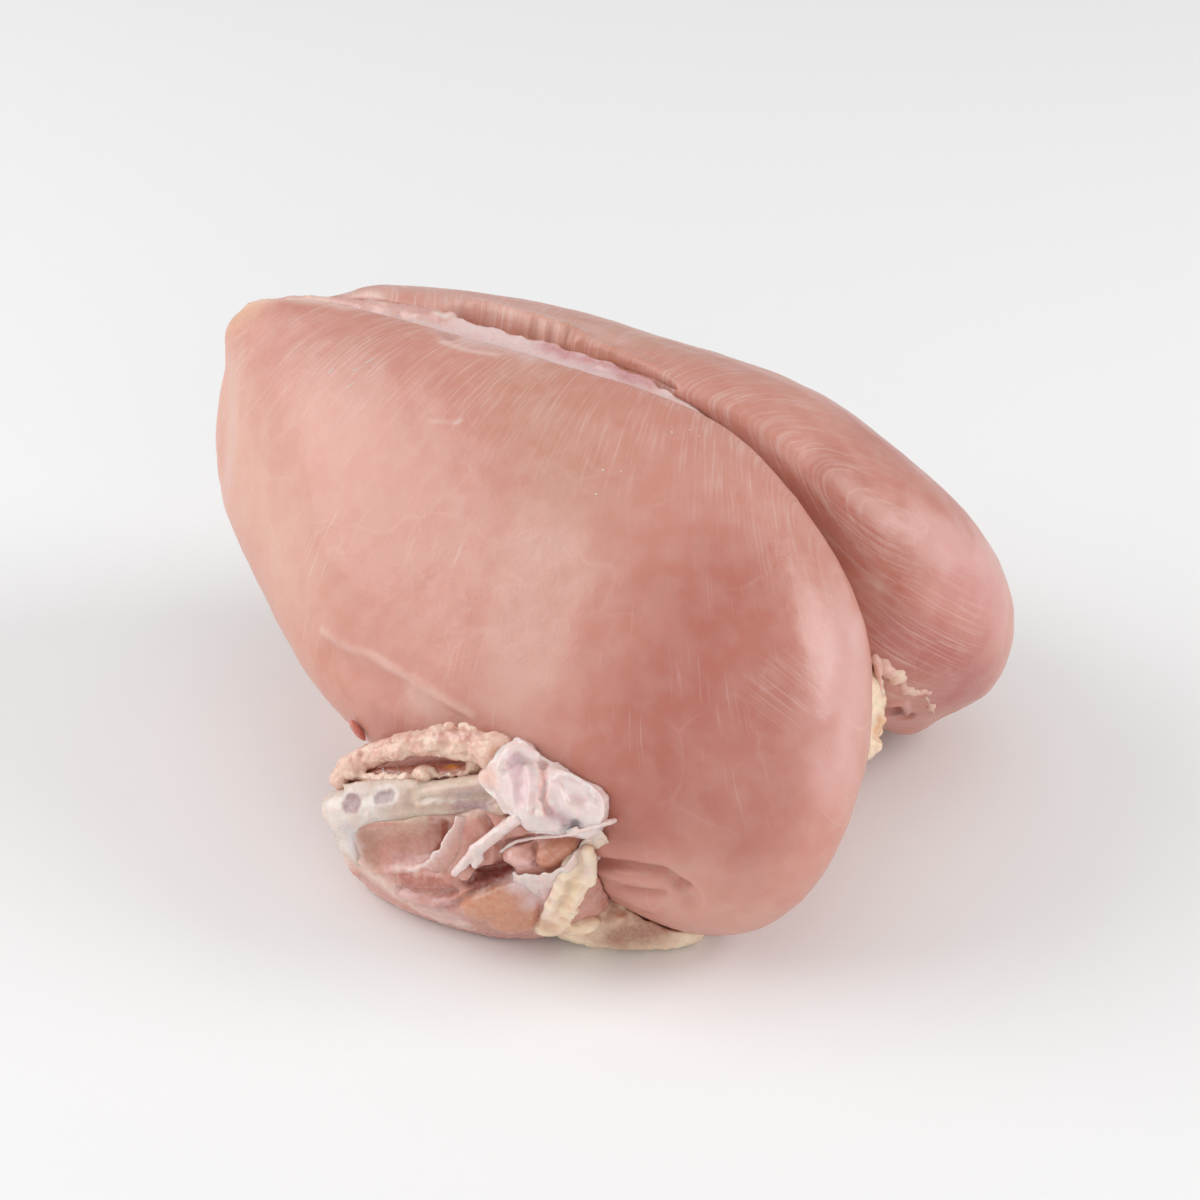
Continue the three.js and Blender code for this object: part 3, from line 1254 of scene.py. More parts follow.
    def shape(self) -> bpy.types.Object:
        """Model the skin of the lobe, smoothed and with its folds.

        Returns:
            The lobe.
        """
        node = self.side.node("breast")
        piece = copy_of_node(node, f"{node}_meat")
        work_together(piece, self.voxel, self.passes)
        press(piece, mirrored(self.creases, self.side) + self.hollows() + self.lips() + self.tears())
        if self.side is Side.RIGHT:
            sag(piece, self.tail_drop)
            soften(piece, self.tail_drop, self.tail_passes)
        roughen(piece, *self.lumps)
        return piece

    def lay_fibres(self, piece: bpy.types.Object) -> None:
        """Lay the map that fibres follow, from the ridge outwards.

        Args:
            piece: The lobe.
        """
        places = points_of(piece)
        fall = np.hypot(places[:, 1], self.crest - places[:, 2])
        fan = self.fan_centre + (places[:, 0] - self.fan_centre) / (1 + self.fan_spread * fall)
        layer = piece.data.uv_layers.new(name="fibre")
        corners = np.empty(len(piece.data.loops), np.int32)
        piece.data.loops.foreach_get("vertex_index", corners)
        centimetre = 10
        weave = np.stack([fan / centimetre, fall / self.girth], axis=1)
        layer.data.foreach_set("uv", weave[corners].astype(np.float32).ravel())

    def build(self, palette: Palette) -> None:
        """Model the lobe, colour it and dress it.

        Args:
            palette: The materials.
        """
        piece = self.shape()
        self.lay_fibres(piece)
        # Painted shade in the hollows, partly the orange-brown of their walls, and painted highlight along
        # their raised edges
        hollow_shades, lip_highlights = (
            tuple(replace(line, width=share * line.width, amount=cover, colour=colour) for line in lines)
            for lines, share, cover, colour in (
                (self.hollows(), 1.1, 0.8, self.hollow_shade),
                (self.lips(), 0.6, 0.3, self.lip_highlight),
            )
        )
        paint(piece, PINK, mirrored(self.colours, self.side) + self.flush() + hollow_shades + lip_highlights, self.ragged)
        palette.dress(piece, MEAT, Slot.MEAT, self.side.node("breast"))


class CutFace:
    """The left cut as it is seen square on, with the solids that carry what lies on it.

    Places on it are given in mm as right, up and proud of the solids.

    Attributes:
        MIDDLE: Middle of the cut in mm.
        TURN: Turn of the view about Z in degrees.
        TIP: Height of the view in degrees.
        CARRIERS: Parts whose solids carry what lies on the cut.
        LEVEL: Turn in degrees that lays a lump level on the cut.
        REACH: Distance in mm from which places are sought on the solids.
        CRISP: Share of a crisp stroke's width over which it fades.
    """

    MIDDLE = (20.96, -72.66, 29.21)
    TURN = 31.25
    TIP = 33.10
    CARRIERS = ("shoulder", "joint", "blade_bone", "fat_roll", "fat_flap", "breast")
    LEVEL = -14.0
    REACH = 60.0
    CRISP = 0.35

    def __init__(self) -> None:
        """Gather the solids."""
        self.frame = Euler((math.radians(90 - self.TIP), 0, math.radians(self.TURN))).to_matrix()
        corners: list[Vector] = []
        faces: list[list[int]] = []
        for part in self.CARRIERS:
            mesh = bpy.data.objects[Side.LEFT.node(part)].data
            faces += [[index + len(corners) for index in face.vertices] for face in mesh.polygons]
            corners += [vertex.co / MM for vertex in mesh.vertices]
        self.solids = BVHTree.FromPolygons(corners, faces)

    def sit(self, right: float, up: float, proud: float) -> Point:
        """Place on the solids.

        Args:
            right: Distance to the right of the cut's middle.
            up: Distance above its middle.
            proud: Distance out from the solid that lies there.

        Returns:
            The place in the frame's axes.
        """
        outward = self.frame @ Vector((0, 0, 1))
        start = Vector(self.MIDDLE) + self.frame @ Vector((right, up, self.REACH))
        place = self.solids.ray_cast(start, -outward)[0]
        if place is None:
            place = self.solids.find_nearest(start - self.REACH * outward)[0]
        return tuple(place + proud * outward)

    def path(self, *points: Point) -> tuple[Point, ...]:
        """Places of a row of points."""
        return tuple(self.sit(*point) for point in points)

    def ball(self, place: Point, wide: float, tall: float, thick: float, tilt: float = 0) -> Ball:
        """Lump that lies flat on the cut.

        Args:
            place: Its middle, as right, up and proud.
            wide: Half of its width.
            tall: Half of its height.
            thick: Half of its thickness.
            tilt: How far its right end is tipped up, in degrees.

        Returns:
            The lump in the frame's axes.
        """
        return Ball(self.sit(*place), (wide, thick, tall), (0, self.LEVEL - tilt, 0))

    def strand(self, radius: float, end_radius: float, *points: Point) -> Strand:
        """Strand over the cut through points given as right, up and proud."""
        return Strand(self.path(*points), radius, end_radius)

    def stroke(self, width: float, amount: float, colour: Colour, *points: tuple[float, float]) -> Stroke:
        """Painted stroke over the cut through points given as right and up."""
        return Stroke(self.path(*((*point, 0) for point in points)), width, amount, colour)

    def patch(self, width: float, amount: float, colour: Colour, *points: tuple[float, float]) -> Stroke:
        """Painted stroke with a crisp edge, through points given as right and up."""
        return replace(self.stroke(width, amount, colour, *points), edge=self.CRISP)

    def dent(self, width: float, height: float, *points: tuple[float, float]) -> Stroke:
        """Pressed stroke over the cut through points given as right and up."""
        return Stroke(self.path(*((*point, 0) for point in points)), width, height)


@dataclass
class BreastBone:
    """The strip of breastbone and its membrane between the lobes.

    Attributes:
        voxel: Size of its skin's faces in mm.
        passes: How often its skin is smoothed.
        lumps: Height and size of its uneven lumps in mm.
        ragged: Raggedness of its painted strokes in mm.
        membrane: Membrane that lies flat on it.
        tail: Strand of membrane between the lobes' tails.
        bed: Softer tissue under that strand, towards the right lobe.
        shreds: Lumps of soft tissue on it.
        colours: Painted colours.
    """

    voxel: float = 0.45
    passes: int = 7
    lumps: tuple[tuple[float, float], ...] = ((0.3, 4), (0.1, 1.8))
    ragged: float = 1.2
    membrane: Sheet = Sheet(
        ((-50, -2.6, 92.6), (-40, -3.4, 93.4), (-30, -3.8, 93.8), (-18, -3.8, 94.0), (-6, -3.6, 94.1),
         (6, -3.2, 93.9), (16, -2.4, 93.4), (25, -1.2, 92.0)),
        ((-50, 2.0, 93.5), (-40, 1.8, 94.5), (-30, 1.4, 95.0), (-18, 1.6, 95.2), (-6, 2.2, 95.2),
         (6, 2.2, 95.0), (16, 1.8, 94.4), (25, 0.8, 92.8)),
        thick=1.3,
        ragged=0.7,
        stray_size=2.4,
    )
    tail: Strand = Strand(((-78, -1.2, 84.4), (-70, -1, 88.6), (-60, -0.8, 91.2), (-48, -0.4, 93)), 1.2, 1.6)
    bed: Strand = Strand(((-79, 0.2, 81.8), (-70, 0.9, 86.2), (-60, 1.4, 89.2), (-48, 1.2, 91.6)), 2.0, 2.1)
    shreds: tuple[Ball, ...] = (
        Ball((-43, -0.6, 94.4), (4.0, 2.0, 0.9)),
        Ball((-37, 0.2, 94.9), (3.2, 2.3, 0.9)),
        Ball((-32.5, 0.6, 95.1), (2.6, 2.4, 1.0)),
        Ball((-29.4, 1.6, 95.1), (1.8, 1.8, 0.9)),
        Ball((-35, -1.4, 95.4), (1.2, 0.9, 0.7)),
        Ball((-30.6, -0.6, 95.7), (1.0, 0.8, 0.6)),
    )
    colours: tuple[Stroke, ...] = (
        Stroke(bed.path, 4.0, 0.8, tone(206, 148, 136)),
        Stroke(
            ((-83, -1.4, 82), (-60, -0.6, 93), (-44, 0, 95), (-30, 0.6, 95.6)), 5.0, 0.9, tone(214, 163, 151)
        ),
        Stroke(((-38, 0.6, 95.6), (-34, 0, 95.8)), 2.0, 0.6, tone(206, 148, 140)),
        Stroke(((-70, -1, 90.6), (-58, -1, 93)), 1.4, 0.6, tone(240, 214, 196)),
        Stroke(((-48, 0.4, 95), (-44, -0.6, 95.2)), 1.2, 0.6, tone(238, 208, 192)),
        Stroke(((-31.5, 0, 96), (-29, 1, 95.8)), 1.4, 0.8, PEARL),
        Stroke(((-26, -2.4, 95.6), (-14, -2.6, 95.7)), 1.4, 0.6, tone(222, 178, 178)),
        Stroke(((-5, 1.0, 95.8), (8, 0.6, 95.6), (20, 0.4, 94.4)), 3.6, 0.9, tone(202, 142, 144)),
        Stroke(((2, -0.6, 95.8), (10, -0.6, 95.5)), 1.0, 0.6, PEARL),
    )

    def build(self, palette: Palette) -> None:
        """Model the strip, colour it and dress it.

        Args:
            palette: The materials.
        """
        piece = copy_of_node("keel", "breastbone_strip")
        knead(piece, self.voxel, self.passes, self.shreds, (self.tail, self.bed), (self.membrane,))
        roughen(piece, *self.lumps)
        paint(piece, tone(226, 200, 196), self.colours, self.ragged)
        palette.dress(piece, GRISTLE, Slot.CARTILAGE, "keel")


@dataclass
class LooseFlecks:
    """Flecks of fat and short torn fibres that lie on the left lobe.

    Attributes:
        places: Middle of each fleck in mm.
        fibres: How many of them, from the first, are torn fibres.
        way: Direction that the fibres lie in.
        reach: Half of a fibre's length in mm.
        radius: Radius of a fibre in mm.
        taper: Share of that radius at a fibre's end.
        speck: Radius of a fleck of fat in mm.
        squash: Sides of a fleck of fat, as shares of its radius.
        smallest: Size of the smallest fleck as a share of the largest.
        rhythm: How fast sizes change from fleck to fleck.
        voxel: Size of their skin's faces in mm.
    """

    places: tuple[Point, ...] = (
        (-35.9, -18.0, 92.1), (-38.1, -19.9, 90.5), (-44.0, -20.2, 88.5), (-37.4, -22.9, 88.4),
        (32.8, -13.0, 93.6), (35.4, -10.3, 93.5), (37.6, -10.6, 92.9), (26.0, -30.5, 86.2),
        (24.9, -26.1, 89.1), (28.4, -25.1, 89.4),
    )
    fibres: int = 4
    way: Point = (0.55, 0.6, 0.35)
    reach: float = 1.3
    radius: float = 0.16
    taper: float = 0.8
    speck: float = 0.34
    squash: Point = (1.0, 0.7, 0.6)
    smallest: float = 0.5
    rhythm: float = 2.4
    voxel: float = 0.1

    def build(self, palette: Palette) -> None:
        """Lay the flecks on the lobe, colour them and dress them.

        Args:
            palette: The materials.
        """
        lobe = bpy.data.objects["breast_left_meat"]
        strands, specks = [], []
        for index, place in enumerate(self.places):
            size = self.smallest + (1 - self.smallest) * abs(math.sin(self.rhythm * index + 1))
            ends = [Vector(place) + share * size * self.reach * Vector(self.way) for share in (-1, 0, 1)]
            low, middle, high = (tuple(lobe.closest_point_on_mesh(end * MM)[1] / MM) for end in ends)
            if index < self.fibres:
                strands.append(Strand((low, middle, high), self.radius, self.taper * self.radius))
            else:
                specks.append(Ball(middle, tuple(side * size * self.speck for side in self.squash)))
        piece = new_piece("loose_flecks")
        knead(piece, self.voxel, 1, specks, strands)
        paint(piece, tone(242, 216, 204), (), ragged=1)
        palette.dress(piece, FASCIA, Slot.MEMBRANE)


@dataclass
class ShoulderCut:
    """One cut shoulder, modelled on the left half.

    Attributes:
        side: The half that it is on.
        face: The cut's own frame.
        flap: Small red flap between the lobe and the roll of fat, in mm.
        shelf_end: Place to the right on the cut where the bone's shelf ends, in mm.
        crumb_lifts: How far crumbs of fat stand out on the shelf and past its end, in mm.
    """

    side: Side
    face: CutFace
    flap: Point = (-15.4, -56.4, 30.2)
    shelf_end: float = -9.0
    crumb_lifts: tuple[float, float] = (1.2, -0.2)

    def clay(self, name: str, base: str | None, voxel: float, passes: int,
             **bodies: Sequence[Ball | Strand | Sheet]) -> bpy.types.Object:
        """Work lumps, strands and sheets into one piece on the left half.

        Args:
            name: Name of the piece without its side.
            base: Part whose left solid they are stuck on, or None.
            voxel: Size of its skin's faces in mm.
            passes: How often it is smoothed.
            **bodies: Its balls, strands and sheets.

        Returns:
            The piece.
        """
        name = self.side.node(name)
        piece = copy_of_node(Side.LEFT.node(base), name) if base else new_piece(name)
        knead(piece, voxel, passes, **bodies)
        return piece

    def finish(self, piece: bpy.types.Object, base: Colour, dents: list[Stroke], lumps: tuple[float, float],
               colours: list[Stroke], ragged: float) -> None:
        """Press, roughen and paint a piece, and bring it to its side.

        Args:
            piece: The piece, on the left half.
            base: Colour under the strokes.
            dents: Pressed strokes.
            lumps: Height and size of the uneven lumps.
            colours: Painted strokes.
            ragged: Raggedness of the painted strokes.
        """
        if dents:
            press(piece, tuple(dents))
        settle(piece, self.side)
        roughen(piece, lumps)
        paint(piece, base, mirrored(tuple(colours), self.side), ragged)

    def build_flesh(self, palette: Palette) -> None:
        """Muscles of the cut, with the pocket under the bone and the dark slot.

        Args:
            palette: The materials.
        """
        face = self.face
        balls = [
            face.ball((0.9, -8.5, 0.9), 1.7, 2.2, 1.6, -20),
            Ball(self.flap, (1.2, 0.9, 3.0), (0, -42, 0)),
        ]
        edge = face.strand(
            2.8, 2.6, (-24.4, 1.6, -4.2), (-24.4, -2, -3.0), (-23.2, -5.6, -2.6), (-21.4, -8.6, -2.8)
        )
        ramp = Sheet(
            face.path((-22.4, 1.2, -2.0), (-16, 1.8, -0.8), (-12, 2.2, -0.8), (-8, 3.2, -0.8),
                      (-4, 3.6, -0.8), (-1.4, 3.6, -0.8)),
            face.path((-22.4, -5.0, -0.8), (-15.6, -5.6, -0.8), (-11.4, -5.4, -1.2), (-7.6, -4.4, -1.2),
                      (-4.6, -2.4, -1.0), (-2.6, -0.6, -0.8)),
            thick=1.9,
            ragged=0.0,
        )
        piece = self.clay(
            "shoulder_flesh", "shoulder", voxel=0.42, passes=9, balls=balls, strands=[edge], sheets=[ramp]
        )
        bulges = [
            face.dent(4.0, 0.8, (2.5, 1.5), (0.5, -3), (-0.6, -7)),
            face.dent(2.4, 1.3, (9.5, 1.0), (15, 0.4)),
            face.dent(3.2, 2.0, (10.2, -4.6), (12.4, -4.8)),
            face.dent(3.2, 2.2, (16.4, -4.8), (20, -2.6)),
            face.dent(2.6, 1.1, (-12, -10.8), (-3, -10.4)),
            face.dent(7.5, 2.2, (3, -15.4), (9, -14.6), (8, -18)),
            face.dent(1.4, 0.6, (-21.4, -7.6), (-18.4, -9.2), (-15, -9.0)),
            face.dent(0.9, 0.6, (-15, -8.7), (-9.8, -8.2), (-6.4, -6.2)),
            face.dent(1.0, 0.8, (-14, -13.6), (-7, -15.4), (-1.4, -13.6)),
            face.dent(1.0, 0.5, (-16, -12), (-9, -17.4), (-3, -19.2)),
        ]
        grooves = [
            face.dent(6.5, -2.4, (-17.0, -4.0), (-8, -3.6), (-5, -2.2)),
            face.dent(2.4, -3.6, (1.6, -9.8), (4.4, -8.8), (8.4, -7.8)),
            face.dent(1.2, -1.2, (-13.4, -12.8), (-6, -13.6), (-1.6, -12.2)),
            face.dent(1.0, -0.9, (-12, -15.4), (-5, -17), (-1.5, -15.4)),
            face.dent(1.3, -1.3, (-1.8, -14.6), (2, -12.2), (6, -10.6), (9.4, -9.8)),
            face.dent(1.5, -1.0, (13.4, -11), (15.2, -15), (14.4, -19)),
            face.dent(0.8, -1.1, (14.2, -2.2), (14.2, -6.4)),
            face.dent(1.2, -1.4, (8.4, -2.2), (13, -1.3), (18.4, 0.4)),
            face.dent(1.4, -1.6, (4.4, 2.6), (7.2, -3.0), (6.8, -6.4)),
            face.dent(1.2, -0.9, (-3.2, 1.4), (-4.6, -3.4), (-6.6, -6.0)),
        ]
        colours = [
            face.stroke(8.5, 0.9, tone(197, 135, 115), (-16, -3), (-6, -2)),
            # Painted shade in the recess under the bone
            face.stroke(4.6, 0.9, tone(172, 106, 90), (-8, 1.2), (-3, 1.0), (-4.6, -2)),
            face.stroke(3.4, 0.8, tone(214, 172, 152), (-18, -0.4), (-12, -0.2), (-8, 0.6)),
            face.stroke(4.2, 0.85, tone(184, 134, 112), (-19.6, -0.6), (-20.2, -4), (-19.4, -7)),
            face.stroke(4.0, 0.7, tone(200, 150, 146), (-14, -6.4), (-8, -5.6)),
            face.stroke(5.4, 0.95, tone(232, 218, 210), (-25.6, 1), (-23.4, -5)),
            face.stroke(2.6, 0.6, tone(206, 194, 196), (-23.6, 0.8), (-22.4, -4)),
            face.stroke(4.0, 0.9, tone(234, 208, 194), (-23.4, -6.4), (-16.6, -12), (-8.6, -16.6), (-1, -20)),
            face.stroke(2.2, 0.85, tone(222, 198, 176), (-17, 2.6), (-12, 2.4), (-7, 2.6)),
            face.stroke(1.8, 0.8, tone(206, 174, 160), (-6, 2.8), (4, 3.8)),
            face.patch(2.3, 0.9, tone(176, 104, 90), (-11.4, -10.8), (-3.6, -10.8)),
            face.stroke(1.0, 0.85, tone(238, 214, 208), (-16, -8.9), (-9.8, -8.2), (-6.4, -6.2)),
            face.stroke(1.6, 0.85, tone(218, 176, 176), (-14, -13.4), (-7.5, -15.4), (-2.4, -14.4)),
            face.stroke(1.2, 0.7, tone(172, 100, 90), (-7, -12.8), (-3, -12.8)),
            face.stroke(3.2, 0.75, tone(218, 186, 182), (-9, -16.6), (-2, -18.6)),
            face.patch(6.4, 0.9, tone(204, 141, 108), (4.6, -15.6), (9.6, -16.4), (9, -13.6)),
            face.stroke(3.2, 0.8, tone(188, 114, 84), (3, -19), (10, -20)),
            # Deep red inside the slot, partly the muscle's own red and partly painted shade
            Stroke(
                face.path((1.6, -9.8, -3), (4.4, -8.8, -3), (8.0, -7.8, -3)), 4.0, 1.0, tone(148, 74, 60), 0.5
            ),
            face.stroke(4.0, 0.9, tone(226, 196, 196), (10.6, -10.4), (16, -11.2), (13.6, -13.6)),
            face.patch(3.2, 0.9, tone(199, 132, 100), (16.6, -4.6), (20, -2.8)),
            face.patch(2.8, 0.85, tone(238, 194, 186), (10.6, -4.8), (12.2, -5.4)),
            face.stroke(2.8, 0.7, tone(184, 118, 104), (0.4, 0.6), (1.4, -2)),
            face.stroke(2.6, 0.7, tone(208, 154, 144), (9.5, 1.0), (15, 0.6)),
            face.stroke(2.4, 0.8, tone(214, 170, 156), (0.9, -8.6)),
            face.stroke(1.0, 0.7, tone(168, 96, 88), (8.4, -2.2), (13, -1.3), (18.4, 0.4)),
            face.stroke(1.0, 0.6, tone(168, 100, 90), (14.2, -2.2), (14.2, -6.4)),
            face.stroke(6.0, 0.9, tone(190, 128, 110), (27, -7), (29, -13)),
            # Darker orange-brown in the recess under the roll of fat, partly painted shade
            face.stroke(3.6, 0.95, tone(170, 94, 68), (-22.4, 10.8), (-12, 12.4), (-1.4, 12.6)),
            face.stroke(1.0, 0.9, AMBER, (-2.8, 12.8), (-1.8, 12.2)),
            Stroke((self.flap,), 4.0, 0.95, tone(208, 112, 96)),
        ]
        self.finish(piece, tone(206, 148, 134), bulges + grooves, (0.16, 1.8), colours, ragged=0.8)
        palette.dress(piece, FLESH, Slot.SHOULDER, self.side.node("shoulder"))

    def build_bone(self, palette: Palette) -> None:
        """Flat blade bone with two round grey ends, and the pale tissue round them.

        Args:
            palette: The materials.
        """
        face = self.face
        rib = face.strand(1.4, 1.8, (-8, 4.4, -1.4), (-2, 4.6, -1.2), (3, 5.0, -0.9), (8, 5.0, 0.4))
        sleeve = Sheet(
            face.path((-26.8, 3.6, -1.4), (-26.8, 0.8, -0.6), (-26.4, -2.6, 2.4), (-25.2, -6.0, 1.2),
                      (-23.4, -9.4, -0.8)),
            face.path((-19.6, 3.4, -1.6), (-20.4, 1.2, -0.8), (-21.8, -1.7, 1.4), (-22.0, -5.0, 0.6),
                      (-21.2, -8.4, -1.0)),
            thick=1.6,
            ragged=0.2,
        )
        shelf = Sheet(
            face.path((-23.6, 6.2, -0.6), (-20, 6.4, -0.5), (-16, 7.2, -0.4), (-12, 7.8, -0.4),
                      (-8.5, 8.0, -0.5)),
            face.path((-24.2, 8.4, 3.8), (-20, 9.3, 2.6), (-16, 9.7, 2.0), (-12, 9.8, 1.8), (-8.5, 9.8, 1.6)),
            thick=1.6,
            ragged=0.5,
        )
        piece = self.clay(
            "blade_bone_shaft", "blade_bone", voxel=0.38, passes=12, strands=[rib], sheets=[sleeve, shelf]
        )
        left, right = ((-22.9, 4.9), (-22.3, 4.9)), ((-16.6, 6.2), (-14.8, 6.6))
        dents = [
            face.dent(2.8, -0.5, *left),
            face.dent(2.2, -0.4, *right),
            face.dent(0.9, 0.5, (-19.2, 8), (-19.0, 2.4)),
            face.dent(3.0, -0.5, (-10, 5.8), (5, 6.8)),
            face.dent(1.1, -0.5, (-8, 6.6), (6, 7.4)),
            face.dent(0.9, 0.4, (-9, 4.8), (7, 5.6)),
        ]
        colours = [
            face.stroke(7.0, 0.95, tone(226, 215, 207), (-27, 4), (-18, 4.4)),
            Stroke(face.path((-25, 0, 1), (-24, -4, 2)), 8.0, 0.95, tone(236, 224, 216)),
            Stroke(face.path((-23.6, -0.2, 1.4), (-23.4, -4.2, 2)), 3.0, 0.6, tone(210, 202, 204)),
            Stroke(face.path((-24, -7.4, 0.8), (-22, -9.4, 0)), 4.0, 0.85, tone(230, 204, 186)),
            Stroke(
                face.path((-19.6, 2.2, -0.6), (-20.4, 1.0, -0.2), (-21.8, -1.7, 2), (-22, -5, 1.2)), 1.2, 0.85
            ),
            face.stroke(2.0, 0.7, tone(226, 210, 192), (-20, 8.6), (-10, 8.6), (-2, 9.8), (4, 10.6)),
            face.stroke(3.0, 0.7, tone(226, 206, 188), (-9, 6.8), (-5, 8.4)),
            face.stroke(3.2, 0.6, tone(184, 160, 156), (0, 6.8), (7, 8)),
            # Painted highlight along the raised ridge of the bone
            face.stroke(0.9, 0.6, tone(230, 222, 218), (-8, 5.6), (1.6, 6.2)),
            # Dark lilac on the bone's lower side, partly its own tint and partly painted shade
            face.stroke(2.0, 0.8, tone(168, 134, 138), (-1, 4.8), (7, 5.2)),
            face.stroke(0.8, 0.6, tone(182, 156, 162), (-4, 7.4), (6, 8.2)),
            face.stroke(1.8, 0.6, tone(220, 200, 176), (-13, 3.4), (-4, 3.6)),
            # Brownish pink on the bone's lower edge, partly the pocket's colour and partly painted shade
            face.stroke(2.6, 0.8, tone(214, 174, 156), (-19, 0.2), (-12, 0.8), (-7, 2.0)),
            *(face.patch(2.9, 0.75, tone(226, 214, 206), *end) for end in (left, right)),
            face.stroke(2.2, 0.7, tone(198, 174, 162), (-16.4, 4.0), (-13.4, 4.6), (-11.6, 6)),
            face.patch(2.4, 0.95, tone(172, 138, 139), *left),
            face.patch(1.6, 0.95, tone(178, 155, 153), *right),
            *(face.stroke(1.6, 0.5, tone(176, 148, 150), *end) for end in (left, right)),
            face.stroke(0.8, 0.8, PEARL, (-19.2, 8), (-19.0, 2.4)),
        ]
        self.finish(piece, tone(198, 170, 152), dents, (0.16, 2), colours, ragged=0.5)
        palette.dress(piece, SHAFT, Slot.BONE, self.side.node("blade_bone"))

    def build_gristle(self, palette: Palette) -> None:
        """Folded gristle and the knob of the joint beside it.

        Args:
            palette: The materials.
        """
        face = self.face
        balls = [
            face.ball((5.6, 10.4, -1.2), 2.8, 2.4, 1.6),
            face.ball((15.3, 4.5, 0.1), 1.1, 1.0, 1.0),
            face.ball((19, 2.4, -1.8), 4.2, 1.8, 2.2, 8),
        ]
        strands = [
            face.strand(0.9, 1.3, (7.6, 13.4, 0.6), (8.8, 15.4, 0.8), (10.6, 16.8, 1.2), (14.2, 15.0, 1.4)),
            face.strand(0.6, 0.4, (13.8, 15.8, -0.2), (17.6, 13.6, -0.3), (20.6, 12.4, -0.3)),
            face.strand(0.6, 0.6, (17.2, 10.4, -0.2), (18.8, 12.2, -0.2), (22.2, 10.9, -0.1),
                        (26.0, 8.4, -0.1), (27.4, 5.1, -0.2), (26.6, 2.8, -0.2)),
        ]
        sheets = [
            Sheet(
                face.path((4.0, 12.2, -0.2), (6.4, 10.8, -0.6), (9.4, 9.2, -0.6), (12.0, 8.0, -0.6)),
                face.path((4.2, 9.4, 1.6), (6.2, 7.0, 2.2), (8.4, 4.4, 1.9), (11.2, 3.7, 0.2)),
                thick=0.9,
                ragged=0.4,
                stray_size=2.4,
            ),
            Sheet(
                face.path((7.2, 13.6, -0.4), (8.6, 15.4, -0.4), (10.8, 16.2, -0.4), (14.6, 14.4, -0.4)),
                face.path((8.0, 15.6, 2.4), (10.4, 18.4, 2.8), (12.8, 17.6, 3.0), (15.2, 15.6, 2.2)),
                thick=0.8,
                ragged=0.4,
                stray_size=2.0,
            ),
        ]
        piece = self.clay(
            "joint_gristle", "joint", voxel=0.34, passes=2, balls=balls, strands=strands, sheets=sheets
        )
        dents = [
            face.dent(3.2, -0.8, (22.2, 7.2), (23, 7.0)),
            face.dent(1.2, -1.1, (15.8, 13.4), (16.4, 10.4), (15.8, 7.2), (17.2, 4.4)),
            face.dent(2.6, -0.4, (10.8, 13), (11.6, 10.4), (11.8, 7.4)),
            face.dent(1.0, -0.5, (9.2, 13.4), (11.2, 14.6), (14, 13.2)),
            face.dent(1.0, 0.8, (12.6, 13.2), (13.8, 9.4), (13.4, 5)),
            face.dent(0.8, 0.3, (9.0, 12.6), (10.2, 9.6), (10.4, 6.4)),
            face.dent(1.6, -0.9, (20.2, 2.0), (22, 2.2)),
            face.dent(1.4, 0.7, (18.6, 9.6), (20.2, 6.0), (22.8, 4.4)),
            face.dent(1.2, -0.6, (24.6, 9.0), (26.2, 6.6)),
        ]
        colours = [
            face.stroke(3.4, 0.85, tone(236, 204, 208), (10.2, 14.6), (11.6, 10.4), (11.4, 7.6)),
            face.stroke(4.6, 0.9, tone(232, 190, 172), (4.2, 11.6), (5.6, 11.0)),
            face.stroke(2.0, 0.5, tone(232, 222, 212), (7.0, 7.6), (9.4, 5.0)),
            face.stroke(2.2, 0.75, tone(222, 178, 178), (22.2, 7.2), (23, 7.0)),
            face.stroke(1.6, 0.9, tone(230, 176, 166), (15.8, 13.4), (16.4, 10.4), (15.8, 7.2), (17.0, 4.6)),
            face.stroke(2.2, 0.8, tone(200, 156, 164), (18.0, 4.4), (19.8, 3.2)),
            face.stroke(1.9, 0.9, tone(122, 106, 116), (20.2, 1.9), (22.4, 2.2)),
            face.stroke(1.3, 0.8, CREAM, (15.3, 4.5)),
            face.stroke(1.3, 0.6, tone(222, 176, 170), (13.8, 7.4), (13.6, 5.0)),
            face.stroke(1.0, 0.6, PEARL, (12.6, 13.2), (13.8, 9.4), (13.4, 5)),
            *(Stroke(sheet.free, 1.3, 0.8, tone(252, 244, 240)) for sheet in sheets),
            Stroke(strands[2].path, 1.2, 0.7, tone(250, 240, 236)),
        ]
        self.finish(piece, tone(236, 220, 216), dents, (0.12, 1.5), colours, ragged=0.6)
        palette.dress(piece, GRISTLE, Slot.CARTILAGE, self.side.node("joint"))

    def crumb(self, right: float, up: float, size: float) -> Ball:
        """Crumb of fat on the bone's shelf or past its end.

        Args:
            right: Place to the right on the cut in mm.
            up: Place upwards on the cut in mm.
            size: Half of its thickness in mm.

        Returns:
            The crumb.
        """
        on_shelf, past_it = self.crumb_lifts
        proud = on_shelf if right < self.shelf_end else past_it
        return self.face.ball((right, up, proud), 1.5 * size, 1.1 * size, size)

